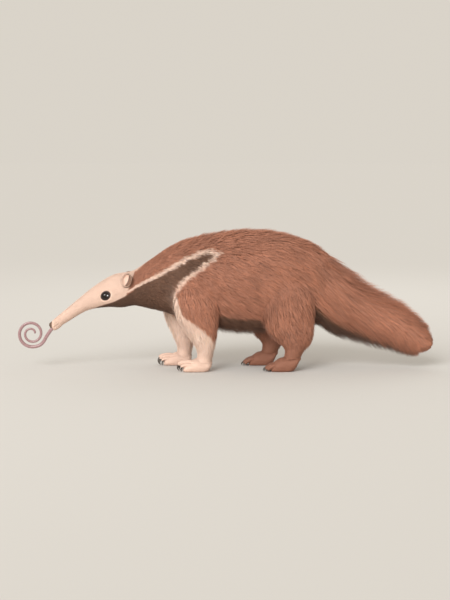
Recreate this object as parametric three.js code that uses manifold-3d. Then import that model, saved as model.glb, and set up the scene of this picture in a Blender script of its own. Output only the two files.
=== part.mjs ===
// A giant anteater at life size, standing with its head low and its tongue out and curled.
// Millimetres. It faces -X, its left side is -Y, and it stands on the floor Z = 0.
import * as THREE from "three";
import { mergeVertices } from "three/addons/utils/BufferGeometryUtils.js";
import Module from "manifold-3d";

const wasm = await Module();
wasm.setup();
const { Manifold, Mesh } = wasm;

// Driving dimensions
const gap = 0.35; // between two nodes that touch
const stride = 95; // how far the right feet stand in front of the left ones
const foreTrack = 96; // each forefoot's distance from the middle plane
const hindTrack = 92;
const eyeRadius = 21;
const eyeOpening = { long: 20, deep: 10, tall: 16.5 }; // half sizes of the gap between the lids
const earHeight = 62;
const earTurn = 62; // degrees that each ear's cup turns from the front to its side
const mouthLength = 46; // from the lips back to the corner of the mouth
const tongueThick = 13; // across the tongue at the mouth
const coilRadius = 60; // of the tongue's outer turn
const coilTurns = 1.72;
const foreClaws = [18, 46, 62, 24]; // claw lengths, from the inner toe to the outer one
const hindClaws = [20, 24, 25, 23, 18];

// The coat's locks: how many go round the body, where their rows lie in ribs, how far a lock reaches in ribs,
// its thickness, and how many degrees its tip hangs down.
const sunk = 0.08; // how much deeper than the core a lock's root lies, as a share of the body's half height
const neckCoat = { round: 8, from: 5.15, to: 6.5, step: 0.62, reach: 1.2, thick: 6, drop: 6 };
const torsoCoat = { round: 11, from: 7.12, to: 12, step: 0.94, reach: 1.75, thick: 9, drop: 8 };
const tailCoat = { round: 8, from: 13.2, to: 17.3, step: 0.85, reach: 2.1, thick: 8, drop: 8 };

// The ribs at which the head, neck, torso and tail end, counted from the snout's tip.
const nape = 5;
const shoulder = 7;
const tailRoot = 13;

// Ribs round the body from the snout's tip to the tail's tip: the highest and lowest point of the coat in the
// middle plane as [x, z], and half the width.
const ribs = [
  { top: [-793, 205], bottom: [-767, 175], half: 16 }, // snout tip
  { top: [-742, 247], bottom: [-714, 206], half: 22 },
  { top: [-655, 319], bottom: [-620, 261], half: 28 }, // mid snout
  { top: [-585, 374], bottom: [-532, 283], half: 42 },
  { top: [-500, 424], bottom: [-462, 276], half: 56 }, // behind the eye
  { top: [-405, 443], bottom: [-398, 286], half: 60 }, // nape
  { top: [-320, 498], bottom: [-320, 272], half: 80 }, // neck
  { top: [-232, 562], bottom: [-232, 245], half: 112 },
  { top: [-130, 603], bottom: [-140, 214], half: 140 }, // shoulder
  { top: [0, 631], bottom: [-15, 184], half: 152 },
  { top: [130, 640], bottom: [100, 168], half: 158 }, // belly
  { top: [255, 625], bottom: [200, 180], half: 152 },
  { top: [370, 583], bottom: [310, 205], half: 128 }, // rump
  { top: [455, 527], bottom: [405, 200], half: 96 }, // tail root
  { top: [560, 449], bottom: [500, 150], half: 78 },
  { top: [690, 371], bottom: [625, 108], half: 70 },
  { top: [810, 298], bottom: [745, 78], half: 60 },
  { top: [895, 213], bottom: [835, 59], half: 42 },
  { top: [934, 130], bottom: [914, 78], half: 16 }, // tail tip
];
const tailTip = ribs.length - 1;

// The legs as level sections from the body down: height, front, back, half the width, the distance from the
// middle plane, and the share of the stride that the section takes. Their coat thins out at bare, counted from
// 0 to 1 down the leg.
const foreLimb = {
  coat: 22,
  bare: 0.75,
  sections: [
    { high: 395, front: -208, back: -40, wide: 34, out: 88, share: 0.25 },
    { high: 320, front: -222, back: -26, wide: 50, out: 96, share: 0.42 },
    { high: 246, front: -208, back: -29, wide: 53, out: 98, share: 0.7 },
    { high: 180, front: -170, back: -36, wide: 46, out: 97, share: 0.9 },
    { high: 120, front: -131, back: -52, wide: 36, out: foreTrack, share: 1 },
    { high: 84, front: -121, back: -58, wide: 33, out: foreTrack, share: 1 },
    { high: 46, front: -128, back: -60, wide: 34, out: foreTrack, share: 1 }, // wrist
  ],
  locks: { from: 0.13, to: 0.45, step: 0.25, turns: [0, 45, 90, 135], reach: 0.36, width: 54, thick: 6 },
};
const hindLimb = {
  coat: 30,
  bare: 0.85,
  sections: [
    { high: 430, front: 215, back: 365, wide: 40, out: 84, share: 0.25 },
    { high: 350, front: 178, back: 395, wide: 60, out: 90, share: 0.4 },
    { high: 270, front: 163, back: 402, wide: 66, out: 92, share: 0.6 },
    { high: 200, front: 178, back: 401, wide: 60, out: 92, share: 0.8 },
    { high: 145, front: 226, back: 388, wide: 48, out: hindTrack, share: 0.95 },
    { high: 102, front: 265, back: 360, wide: 37, out: hindTrack, share: 1 },
    { high: 58, front: 262, back: 340, wide: 34, out: hindTrack, share: 1 }, // hock
  ],
  locks: { from: 0.13, to: 0.6, step: 0.22, turns: [-10, 40, 90, 140], reach: 0.36, width: 62, thick: 7 },
};

const colours = {
  brown: 0x9b6850,
  dark: 0x5d4234,
  cream: 0xf0cdb8,
  ear: 0xa98672,
  eye: 0x080606,
  tongue: 0xb98a8c,
  claw: 0x3a2f28,
};
const roughness = { eye: 0.08, tongue: 0.35, claw: 0.5 };
const material = (name) =>
  new THREE.MeshStandardMaterial({ color: colours[name], roughness: roughness[name] ?? 0.85, metalness: 0 });

const lerp = THREE.MathUtils.lerp;
const degrees = THREE.MathUtils.degToRad;
const smooth = THREE.MathUtils.smoothstep;
const vector = (x, y, z) => new THREE.Vector3(x, y, z);
const across = vector(0, 1, 0);
const curveThrough = (points) => new THREE.CatmullRomCurve3(points, false, "catmullrom", 0.5);

// Repeatable chance: vary(most) lies between -most and most.
let seed = 7;
function vary(most) {
  seed = (seed * 16807) % 2147483647;
  return ((seed / 2147483647) * 2 - 1) * most;
}

// Solids
function solid(geometry) {
  const shape = geometry.clone();
  for (const name of ["normal", "uv"]) {
    shape.deleteAttribute(name);
  }
  const merged = mergeVertices(shape, 1e-3);
  const vertProperties = new Float32Array(merged.attributes.position.array);
  const triVerts = new Uint32Array(merged.index.array);
  const made = new Manifold(new Mesh({ numProp: 3, vertProperties, triVerts }));
  if (made.volume() > 0) {
    return made;
  }
  for (let i = 0; i < triVerts.length; i += 3) {
    [triVerts[i + 1], triVerts[i + 2]] = [triVerts[i + 2], triVerts[i + 1]];
  }
  return new Manifold(new Mesh({ numProp: 3, vertProperties, triVerts }));
}

// A unit cylinder or cone bent to a shape: place(t, c, s) gives the point at t from 0 to 1 along it, where c
// and s are the cosine and sine round it, or both 0 in the middle of an end.
function bent(sides, steps, place, pointed = false) {
  const shape = new THREE.CylinderGeometry(pointed ? 0 : 1, 1, 1, sides, steps);
  const position = shape.getAttribute("position");
  for (let i = 0; i < position.count; i++) {
    const x = position.getX(i);
    const z = position.getZ(i);
    const radius = Math.hypot(x, z);
    const [c, s] = radius > 1e-6 ? [x / radius, z / radius] : [0, 0];
    const point = place(position.getY(i) + 0.5, c, s);
    position.setXYZ(i, point.x, point.y, point.z);
  }
  return solid(shape);
}

function ball(centre, size, turn, detail) {
  const shape = new THREE.SphereGeometry(1, detail, Math.round(detail * 0.7));
  shape.scale(...size);
  shape.rotateY(turn);
  shape.translate(...centre);
  return solid(shape);
}

// A tube along a curve, with its half height and half width at t. back draws its start back.
function tube(curve, sides, steps, size, upright, pointed = false, back = 0) {
  return bent(
    sides,
    steps,
    (t, c, s) => {
      const along = curve.getTangent(t);
      const side = along.clone().cross(upright).normalize();
      const up = side.clone().cross(along).normalize();
      const [high, wide] = size(t);
      const point = curve.getPoint(t).addScaledVector(along, t === 0 ? -back : 0);
      return point.addScaledVector(up, high * s).addScaledVector(side, wide * c);
    },
    pointed,
  );
}

// A flat lock at t from its sunk root to its tip: its place on the path, its directions, and half its width
// and thickness. outward(t) faces away from the body.
function lockFrame({ path, outward, width, thick }, t) {
  const ahead = path(Math.min(t + 0.02, 1)).sub(path(Math.max(t - 0.02, 0))).normalize();
  const side = ahead.clone().cross(outward(t)).normalize();
  const face = side.clone().cross(ahead).normalize();
  const broad = (lerp(0.55, 1, smooth(t, 0, 0.5)) * (1 - t ** 3) * width) / 2;
  const deep = (lerp(1, 0.3, t) * thick) / 2;
  return { point: path(t), ahead, side, face, broad, deep };
}

// The lock itself has a ridge along its outer face and tapers to a point.
function lock(shape) {
  const place = (t, c, s) => {
    const { point, side, face, broad, deep } = lockFrame(shape, t);
    return point.addScaledVector(side, broad * c).addScaledVector(face, deep * s);
  };
  return bent(3, 3, place, true);
}

// The room that a lock needs in another node: a flat box bent along it, clear of it all round.
function lockRoom(shape) {
  const clear = 4 * gap;
  return bent(4, 3, (t, c, s) => {
    const { point, ahead, side, face, broad, deep } = lockFrame(shape, t);
    const end = clear * (t === 1 ? 1 : t === 0 ? -1 : 0);
    return point
      .addScaledVector(side, (broad + clear) * (c + s))
      .addScaledVector(face, (deep + clear) * (s - c))
      .addScaledVector(ahead, end);
  });
}

const join = (pieces) => Manifold.union(pieces);

// The body
const topLine = curveThrough(ribs.map((r) => vector(r.top[0], r.half, r.top[1])));
const bottomLine = curveThrough(ribs.map((r) => vector(r.bottom[0], r.half, r.bottom[1])));

// A point of the body: along counts ribs, angle turns from the left side (0) up over the back (a quarter
// turn), depth is 0 on the coat's outline and 1 on the middle line, and grow adds millimetres.
function onBody(along, angle, depth = 0, grow = 0) {
  const u = THREE.MathUtils.clamp(along / tailTip, 0, 1);
  const top = topLine.getPoint(u);
  const bottom = bottomLine.getPoint(u);
  const centre = top.clone().add(bottom).multiplyScalar(0.5);
  const up = top.clone().sub(bottom).setY(0);
  const halfHeight = (up.length() / 2) * (1 - depth) + grow;
  const halfWidth = top.y * (1 - depth) + grow;
  return up
    .normalize()
    .multiplyScalar(halfHeight * Math.sin(angle))
    .add(vector(centre.x, -halfWidth * Math.cos(angle), centre.z));
}

// How deep the core of the coat lies, from the short hair of the nape to the long hair of the tail.
function coreDepth(along) {
  const neckPart = 0.15 * smooth(along, nape, nape + 1);
  return neckPart + 0.3 * smooth(along, tailRoot - 0.4, tailRoot + 1.4);
}

// A length of the body between two ribs.
function trunk(from, to, round, steps, grow = 0) {
  return bent(round, steps, (t, c, s) => {
    const along = lerp(from, to, t);
    return c || s ? onBody(along, Math.atan2(s, c), coreDepth(along), grow) : onBody(along, 0, 1);
  });
}

// Rows of locks round the body, every second row set half a step aside. Each lock leaves the core at its root
// and ends on the coat's outline further back, over the roots of the next row. Those of the crest and of the
// belly's middle stand on edge.
function bodyLocks({ round, from, to, step, reach, thick, drop }) {
  const locks = [];
  const apart = degrees(360 / round);
  for (let row = 0; from + row * step <= to; row++) {
    for (let i = 0; i < round; i++) {
      const angle = Math.PI / 2 + apart * (i + (row % 2) / 2) + degrees(vary(1.5));
      const along = from + row * step + vary(0.07);
      const length = Math.min(reach * (1 + vary(0.14)), tailTip - 0.03 - along);
      const onEdge = Math.abs(Math.sin(angle)) > 0.9;
      const sag = onEdge ? 0 : degrees(drop) * Math.cos(angle);
      const rootDepth = coreDepth(along) + sunk;
      const depth = (t) => lerp(rootDepth, 0.01, onEdge ? t : t ** 0.6);
      const path = (t, deeper = 0) => onBody(along + length * t, angle - sag * t * t, depth(t) + deeper);
      const outward = (t) => (onEdge ? vector(0, 1, 0) : path(t).sub(path(t, 0.1)));
      const middle = along + length / 2;
      const [low, high] = onEdge
        ? [onBody(middle, angle), onBody(middle, angle, coreDepth(middle) + sunk)]
        : [onBody(middle, angle - apart / 2), onBody(middle, angle + apart / 2)];
      locks.push({ path, outward, width: low.distanceTo(high) * (1 + vary(0.07)), thick });
    }
  }
  return locks;
}

// The limbs
const sides = [
  { name: "left", y: -1, ahead: 0 },
  { name: "right", y: 1, ahead: stride },
];

// A point of a limb: t runs down it, angle turns from its back (0) over its outer side (a quarter turn) to
// its front, and inset is how far inside its outline it lies.
function onLimb(side, { sections }, t, angle, inset) {
  const line = (edge, across) =>
    curveThrough(sections.map((s) => vector(s[edge] - side.ahead * s.share, s[across], s.high))).getPoint(t);
  const front = line("front", "out");
  const back = line("back", "wide");
  const deep = (back.x - front.x) / 2 - inset;
  return vector(
    (front.x + back.x) / 2 + deep * Math.cos(angle),
    side.y * (front.y + (back.y - inset) * Math.sin(angle)),
    front.z,
  );
}

// Half the coat's depth at t down a limb.
const limbCoat = ({ coat, bare }, t) => (coat / 2) * (1 - smooth(t, bare - 0.4, bare));

function limbCore(side, limb, grow) {
  return bent(10, 6, (t, c, s) => {
    const inset = limbCoat(limb, t) - grow;
    const end = grow * (t === 0 ? 1 : t === 1 ? -1 : 0);
    const ring = (angle) => onLimb(side, limb, t, angle, inset);
    const point = c || s ? ring(Math.atan2(s, c)) : ring(0).lerp(ring(Math.PI), 0.5);
    return point.add(vector(0, 0, end));
  });
}

function limbLocks(side, limb) {
  const { from, to, step, turns, reach, width, thick } = limb.locks;
  const locks = [];
  for (let row = 0; from + row * step <= to; row++) {
    for (const turn of turns) {
      const angle = degrees(turn + (row % 2) * 22 + vary(6));
      const start = from + row * step + vary(0.02);
      const length = reach * (1 + vary(0.12));
      const rootInset = limbCoat(limb, start) + 7;
      const inset = (t) => lerp(rootInset, 1, t ** 0.7);
      const path = (t, deeper = 0) => onLimb(side, limb, start + length * t, angle, inset(t) + deeper);
      const outward = (t) => (Math.cos(angle) > 0.8 ? vector(0, 1, 0) : path(t).sub(path(t, 5)));
      locks.push({ path, outward, width: width * (1 + vary(0.1)), thick });
    }
  }
  return locks;
}

// Feet
const upright = vector(0, 0, 1);
const foreFoot = {
  kind: "fore",
  look: "cream",
  track: foreTrack,
  heel: 32,
  top: foreLimb.sections.at(-1).high,
  shape: [
    { x: -60, wide: 16, high: 46 },
    { x: -72, wide: 33, high: 50 },
    { x: -105, wide: 40, high: 60 },
    { x: -140, wide: 43, high: 56 },
    { x: -172, wide: 40, high: 44 },
    { x: -184, wide: 30, high: 30 },
  ],
  toes: foreToes(),
};
const hindFoot = {
  kind: "hind",
  look: "brown",
  track: hindTrack,
  heel: 65,
  top: hindLimb.sections.at(-1).high,
  shape: [
    { x: 336, wide: 16, high: 62 },
    { x: 318, wide: 31, high: 66 },
    { x: 280, wide: 36, high: 66 },
    { x: 240, wide: 39, high: 58 },
    { x: 206, wide: 38, high: 42 },
    { x: 196, wide: 30, high: 30 },
  ],
  toes: hindToes(),
};

// Toes from the inner side to the outer one. A toe bends over its knuckle, and its claw bends to the floor.
function foreToes() {
  const across = [-31, -12, 11, 31];
  const thick = [9.5, 13, 14, 10];
  return foreClaws.map((length, i) => {
    const big = length / Math.max(...foreClaws);
    const tip = -186 - 14 * big;
    const high = 22 + 14 * big;
    return {
      bones: [[-150, across[i] * 0.85, high + 4], [-178, across[i], high + 9], [tip, across[i], high]],
      thick: thick[i],
      claw: [
        [tip + 9, across[i], high + 2],
        [tip - length * 0.32, across[i] - 4 * big, high * 0.62],
        [tip + 2 - length * 0.1, across[i] - 14 * big, 2.2],
      ],
      clawHigh: 4 + 4.5 * big,
      clawWide: 3.2 + 3 * big,
    };
  });
}

function hindToes() {
  const across = [-29, -15, 0, 15, 28];
  const setBack = [7, 1, 0, 3, 10];
  return hindClaws.map((length, i) => {
    const tip = 184 + setBack[i];
    return {
      bones: [[222, across[i] * 0.9, 19], [200 + setBack[i], across[i], 23], [tip, across[i], 15]],
      thick: 9.5,
      claw: [
        [tip + 7, across[i], 17],
        [tip - length * 0.45, across[i], 16],
        [tip - length * 0.62, across[i], 2],
      ],
      clawHigh: 5,
      clawWide: 3.6,
    };
  });
}

// A curve over three points of a foot, given as [x, distance outwards from the foot's middle, z].
function footCurve(side, track, points) {
  const placed = points.map(([x, y, z]) => vector(x - side.ahead, side.y * (track + y), z));
  return new THREE.QuadraticBezierCurve3(...placed);
}

function claw(side, track, toe, grow) {
  const size = (t) => {
    const taper = (1 - t) ** 0.65;
    return [toe.clawHigh * taper + 1.7 * grow, toe.clawWide * taper + 1.7 * grow];
  };
  const curve = footCurve(side, track, toe.claw);
  return tube(curve, 6, 3, size, vector(-1, 0, 0.4), grow === 0, 1.7 * grow).trimByPlane([0, 0, 1], 0);
}

// The sole curves up behind, to the heel's height at the back.
function footSolid(side, { track, top, heel, shape, toes }) {
  const line = curveThrough(shape.map((s) => vector(s.x, s.wide, s.high)));
  const body = bent(10, 5, (t, c, s) => {
    const p = line.getPoint(t);
    const low = heel * (1 - smooth(t, 0, 0.42)) - p.z * 0.25;
    return vector(p.x - side.ahead, side.y * track + p.y * c, (p.z + low) / 2 + ((p.z - low) / 2) * s);
  });
  const size = (toe) => (t) => [toe.thick * (1 - 0.25 * t), toe.thick * (1 - 0.2 * t)];
  const toeSolids = toes.map((toe) => tube(footCurve(side, track, toe.bones), 6, 2, size(toe), upright));
  const sockets = join(toes.map((toe) => claw(side, track, toe, gap)));
  const whole = join([body.trimByPlane([0, 0, -1], gap - top), ...toeSolids]);
  return whole.subtract(sockets).trimByPlane([0, 0, 1], 0);
}

// Head
const snoutTurn = degrees(-37.5); // the snout slopes down to its tip
const eyeCentre = (side) => [-533, side.y * 29.5, 333];
const earCentre = [-438, 58, 404];
const skull = (grow = 0) => trunk(0, nape, 16, 14, grow);

// A place near the snout's tip: forwards along the snout, to one side, and down towards the chin.
function atSnout(forward, out, under) {
  const ahead = vector(-1, 0, 0).applyAxisAngle(across, snoutTurn);
  const below = vector(0, 0, -1).applyAxisAngle(across, snoutTurn);
  return vector(-780, out, 190).addScaledVector(ahead, forward).addScaledVector(below, under).toArray();
}

const nose = ball(atSnout(0, 0, 0), [12, 16, 20], snoutTurn, 10);
const lowerLip = ball(atSnout(-24, 0, 14), [31, 14, 10], snoutTurn, 10);
const mouth = ball(atSnout(4, 0, 8.5), [18, 9.5, 7.5], snoutTurn, 8);
const mouthLine = ball(atSnout(0, 0, 8.5), [mouthLength, 34, 1.3], snoutTurn, 8);
const nostril = (side) => ball(atSnout(9, side.y * 7.5, -7), [5, 3.6, 2.6], snoutTurn, 6);

function lids(side) {
  return ball(eyeCentre(side), [eyeRadius + 5, eyeRadius + 1.8, eyeRadius + 3], snoutTurn, 12);
}

function eyeSocket(side) {
  const [x, y, z] = eyeCentre(side);
  const { long, deep, tall } = eyeOpening;
  const hollow = ball([x, y, z], Array(3).fill(eyeRadius + gap), 0, 12);
  return hollow.add(ball([x, y + side.y * eyeRadius, z], [long, deep, tall], snoutTurn, 10));
}

// Ears: a shallow cup that opens forwards and outwards, set on the side of the head.
function ear(side) {
  const half = earHeight / 2;
  const shell = ball([0, 0, 0], [10, 0.8 * half, half], 0, 12);
  const hollow = ball([-8, 0, 2], [12.5, 0.8 * half - 4, half - 4.5], 0, 10);
  const [x, y, z] = earCentre;
  return shell
    .subtract(hollow)
    .rotate([0, 12, 0])
    .rotate([0, 0, -side.y * earTurn])
    .translate([x, side.y * y, z])
    .subtract(skull(gap));
}

// The tongue runs out of the mouth, down, and round its coil.
function tongueLine() {
  const coil = vector(-872, 0, 156);
  const start = [[-748, 201], [-777, 181], [-803, 146], [-818, 120], [-839, 102]];
  const points = start.map(([x, z]) => vector(x, 0, z));
  const stepsPerTurn = 12;
  const total = Math.round(stepsPerTurn * coilTurns);
  for (let i = 0; i <= total; i++) {
    const turn = (i / stepsPerTurn) * 2 * Math.PI;
    const radius = coilRadius - (coilRadius - 15) * (i / total) ** 1.15;
    points.push(coil.clone().add(vector(-radius * Math.sin(turn), 0, -radius * Math.cos(turn))));
  }
  return new THREE.CatmullRomCurve3(points, false, "centripetal");
}

const tongueCurve = tongueLine();

function tongue(from, to, steps, grow = 0) {
  return bent(8, steps, (t, c, s) => {
    const u = lerp(from, to, t);
    const along = tongueCurve.getTangentAt(u);
    const half = (tongueThick / 2) * lerp(1, 0.45, u ** 1.4) + grow;
    const up = along.clone().cross(across);
    const point = tongueCurve.getPointAt(u).addScaledVector(along, t === 0 ? -grow : 0);
    return point.addScaledVector(up, half * s).addScaledVector(across, half * 0.9 * c);
  });
}

// The whole animal. A node is the largest closed surface that its cuts leave.
const group = new THREE.Group();

function node(name, look, whole) {
  const kept = whole.decompose().reduce((best, next) => (next.volume() > best.volume() ? next : best));
  const { vertProperties, triVerts } = kept.getMesh();
  const geometry = new THREE.BufferGeometry();
  geometry.setAttribute("position", new THREE.BufferAttribute(new Float32Array(vertProperties), 3));
  geometry.setIndex(new THREE.BufferAttribute(new Uint32Array(triVerts), 1));
  const shown = new THREE.Mesh(geometry, material(look));
  shown.name = name;
  group.add(shown);
}

const limbRoom = [];
for (const side of sides) {
  for (const foot of [foreFoot, hindFoot]) {
    node(`${foot.kind}foot_${side.name}`, foot.look, footSolid(side, foot));
    foot.toes.forEach((toe, i) => {
      node(`${foot.kind}_claw_${side.name}_${i + 1}`, "claw", claw(side, foot.track, toe, 0));
    });
  }
  for (const [name, look, limb] of [["foreleg", "cream", foreLimb], ["hindleg", "brown", hindLimb]]) {
    const locks = limbLocks(side, limb);
    node(`${name}_${side.name}`, look, join([limbCore(side, limb, 0), ...locks.map(lock)]));
    limbRoom.push(limbCore(side, limb, 1.4 * gap), ...locks.map(lockRoom));
  }
}

// Each length of the body is cut clear of the limbs, and of the locks that lie over it from the one in front.
const joint = gap / 80; // the gap counted in ribs
const lengths = [
  { name: "neck", look: "dark", from: nape, to: shoulder, sides: 14, steps: 4, coat: neckCoat },
  { name: "torso", look: "brown", from: shoulder, to: tailRoot, sides: 14, steps: 9, coat: torsoCoat },
  { name: "tail", look: "brown", from: tailRoot, to: tailTip, sides: 10, steps: 7, coat: tailCoat },
];
let frontRoom = [];
for (const { name, look, from, to, sides: round, steps, coat } of lengths) {
  const locks = bodyLocks(coat);
  const whole = join([trunk(from + joint, to, round, steps), ...locks.map(lock)]);
  node(name, look, whole.subtract(join([...limbRoom, ...frontRoom])));
  frontRoom = locks.map(lockRoom);
}

const headCuts = [mouth, mouthLine, tongue(0, 0.12, 5, 1.2), ...sides.map(eyeSocket), ...sides.map(nostril)];
node("head", "cream", join([skull(), nose, lowerLip, ...sides.map(lids)]).subtract(join(headCuts)));
for (const side of sides) {
  node(`ear_${side.name}`, "ear", ear(side));
  node(`eye_${side.name}`, "eye", ball(eyeCentre(side), Array(3).fill(eyeRadius), 0, 12));
}

const tongueCuts = { root: [0, 0.3], middle: [0.3, 0.62], curl: [0.62, 1] };
for (const [name, [from, to]] of Object.entries(tongueCuts)) {
  node(`tongue_${name}`, "tongue", tongue(from + (from ? gap / tongueCurve.getLength() : 0), to, 11));
}

// The origin is on the floor below the middle of the whole.
const bounds = new THREE.Box3().setFromObject(group);
const centre = bounds.getCenter(new THREE.Vector3());
group.position.set(-centre.x, -centre.y, 0);

export default group;
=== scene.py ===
import math

import bmesh
import bpy
import numpy as np
from mathutils import Matrix, Vector, kdtree, noise
from mathutils.bvhtree import BVHTree


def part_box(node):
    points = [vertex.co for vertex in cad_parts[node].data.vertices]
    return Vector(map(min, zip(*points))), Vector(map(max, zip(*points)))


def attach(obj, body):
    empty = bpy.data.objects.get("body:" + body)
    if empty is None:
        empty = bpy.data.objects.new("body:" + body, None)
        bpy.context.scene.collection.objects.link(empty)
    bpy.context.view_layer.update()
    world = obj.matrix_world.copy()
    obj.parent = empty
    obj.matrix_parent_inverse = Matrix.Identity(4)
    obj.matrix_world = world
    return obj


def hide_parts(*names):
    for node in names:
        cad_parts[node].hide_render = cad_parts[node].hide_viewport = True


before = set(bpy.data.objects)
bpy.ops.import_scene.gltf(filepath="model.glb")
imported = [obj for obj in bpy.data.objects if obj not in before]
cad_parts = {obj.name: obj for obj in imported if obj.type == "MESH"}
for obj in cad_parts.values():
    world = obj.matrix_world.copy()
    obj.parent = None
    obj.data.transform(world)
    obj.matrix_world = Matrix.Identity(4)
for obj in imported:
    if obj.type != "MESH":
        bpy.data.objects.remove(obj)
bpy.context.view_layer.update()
scene = bpy.context.scene
rng = np.random.default_rng(11)
mm = 0.001  # the tables below are in millimetres, the meshes in metres

# The animal faces -X and its left side is -Y. Its ribs, from the snout's tip to the tail's tip: the coat's
# highest and lowest point in the middle plane as x, z, x, z, and half its width.
ribs = np.array([
    (-793, 205, -767, 175, 16),
    (-742, 247, -714, 206, 22),
    (-655, 319, -620, 261, 28),
    (-585, 374, -532, 277, 42),
    (-500, 424, -462, 276, 56),  # behind the eye
    (-405, 443, -398, 286, 60),  # nape
    (-320, 498, -320, 272, 80),
    (-232, 562, -232, 245, 112),
    (-130, 603, -140, 214, 140),  # shoulder
    (0, 631, -15, 184, 152),
    (130, 640, 100, 168, 158),
    (255, 625, 200, 180, 152),
    (370, 583, 310, 205, 128),
    (455, 527, 405, 200, 96),  # tail root
    (560, 449, 500, 150, 78),
    (690, 371, 625, 108, 70),
    (810, 298, 745, 78, 60),
    (895, 213, 835, 59, 42),
    (934, 130, 914, 78, 16),
], float)
tailTip = len(ribs) - 1

# The legs as level sections from the body down: height, front, back, half the width, distance from the
# middle plane, and the share of the stride that the section takes.
stride = 95
foreLimb = {
    "coat": 22, "bare": 0.75, "sections": np.array([
        (395, -208, -40, 34, 88, 0.25),
        (320, -230, -26, 50, 96, 0.42),
        (246, -219, -29, 53, 98, 0.7),
        (180, -170, -36, 46, 97, 0.9),
        (120, -131, -52, 36, 96, 1),
        (84, -121, -58, 33, 96, 1),
        (46, -128, -60, 34, 96, 1),
    ], float)}
hindLimb = {
    "coat": 30, "bare": 0.85, "sections": np.array([
        (430, 215, 365, 40, 84, 0.25),
        (350, 178, 395, 60, 90, 0.4),
        (270, 163, 402, 66, 92, 0.6),
        (200, 178, 401, 60, 92, 0.8),
        (145, 226, 388, 48, 92, 0.95),
        (102, 265, 355, 37, 92, 1),
        (58, 262, 333, 33, 92, 1),
    ], float)}
sides = {"left": (-1, 0), "right": (1, stride)}  # the side's sign, and how far its feet stand ahead
limbSkin = {"fade": 0.4, "least": 2.5}  # the share of a limb on which its skin comes out, and its last depth


def mirrored(spot, sign):  # a place of the right side, or its mirror image on the left
    x, y, z = spot
    return np.array((x, sign * y, z), float)


def step(x, low, high):  # a smooth step from 0 at low to 1 at high
    t = np.clip((x - low) / (high - low), 0, 1)
    return t * t * (3 - 2 * t)


def unit(v):
    return v / np.maximum(np.linalg.norm(v, axis=-1, keepdims=True), 1e-9)


def curveAt(points, u):  # a smooth curve through the rows of points, at u from 0 to 1
    ends = np.vstack([2 * points[0] - points[1], points, 2 * points[-1] - points[-2]])
    last = len(points) - 1
    at = np.clip(u, 0, 1) * last
    i = np.minimum(at.astype(int), last - 1)
    t = (at - i)[..., None]
    a, b, c, d = (ends[i + k] for k in range(4))
    return b + 0.5 * t * (c - a + t * (2 * a - 5 * b + 4 * c - d + t * (3 * (b - c) + d - a)))


def onBody(along, angle, depth=0.0, grow=0.0):
    # along counts ribs, angle turns from the left side up over the back, depth is 0 on the coat and 1 inside
    rib = curveAt(ribs, along / tailTip)
    top, bottom = rib[..., 0:2], rib[..., 2:4]
    up = top - bottom
    tall = np.linalg.norm(up, axis=-1)
    high = (tall / 2 * (1 - depth) + grow) * np.sin(angle)
    wide = (rib[..., 4] * (1 - depth) + grow) * np.cos(angle)
    middle = (top + bottom) / 2 + up / tall[..., None] * high[..., None]
    return np.stack([middle[..., 0], -wide, middle[..., 1]], -1)


def onLimb(side, limb, t, angle, inset=0.0):
    # t runs down the limb, angle turns from its back over its outer side to its front
    sign, ahead = sides[side]
    high, front, back, half, out, share = np.moveaxis(curveAt(limb["sections"], t), -1, 0)
    deep = (back - front) / 2 - inset
    x = (front + back) / 2 - ahead * share + deep * np.cos(angle)
    y = sign * (out + (half - inset) * np.sin(angle))
    return np.stack([x, y, high], -1)


snoutTurn = math.radians(-37.5)
eyeRadius = 21
eyeCentre = (-533, 29.5, 333)
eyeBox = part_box("eye_left")
design = Vector((eyeCentre[0], -eyeCentre[1], eyeCentre[2])) * mm
shift = np.array((eyeBox[0] + eyeBox[1]) / 2 - design)  # from these tables to the frame


def atSnout(forward, out, under):  # a place near the snout's tip
    turn = Matrix.Rotation(snoutTurn, 3, "Y")
    ahead, below = turn @ Vector((-1, 0, 0)), turn @ Vector((0, 0, -1))
    return Vector((-780, out, 190)) + ahead * forward + below * under


# Mesh helpers
def newObject(name, mesh):
    obj = bpy.data.objects.new(name, mesh)
    scene.collection.objects.link(obj)
    return obj


def meshFrom(bm, name):
    mesh = bpy.data.meshes.new(name)
    bm.to_mesh(mesh)
    bm.free()
    return mesh


def applied(obj):  # the mesh that an object's modifiers give, and the object is gone
    made = bpy.data.meshes.new_from_object(obj.evaluated_get(bpy.context.evaluated_depsgraph_get()))
    bpy.data.objects.remove(obj)
    return made


def rowsOf(data, attribute, width, kind=np.float32):  # an attribute of vertices, edges or loops
    flat = np.empty(len(data) * width, kind)
    data.foreach_get(attribute, flat)
    return flat.reshape(-1, width)


def coordinates(mesh):
    return rowsOf(mesh.vertices, "co", 3).astype(float)


def place(mesh, co):
    mesh.vertices.foreach_set("co", (co * mm + shift).astype(np.float32).ravel())
    mesh.update()
    return mesh


def bentTube(sideCount, steps, shape):
    # a cylinder bent to shape(t, angle, rim): t runs along it, and rim is 0 in the middle of an end
    bm = bmesh.new()
    bmesh.ops.create_cone(
        bm, cap_ends=True, cap_tris=True, segments=sideCount, radius1=1, radius2=1, depth=1)
    long = [e for e in bm.edges if abs(e.verts[0].co.z - e.verts[1].co.z) > 0.5]
    bmesh.ops.subdivide_edges(bm, edges=long, cuts=steps - 1)
    mesh = meshFrom(bm, "tube")
    co = coordinates(mesh)
    rim = np.hypot(co[:, 0], co[:, 1])
    return place(mesh, shape(co[:, 2] + 0.5, np.arctan2(co[:, 1], co[:, 0]), rim))


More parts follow.
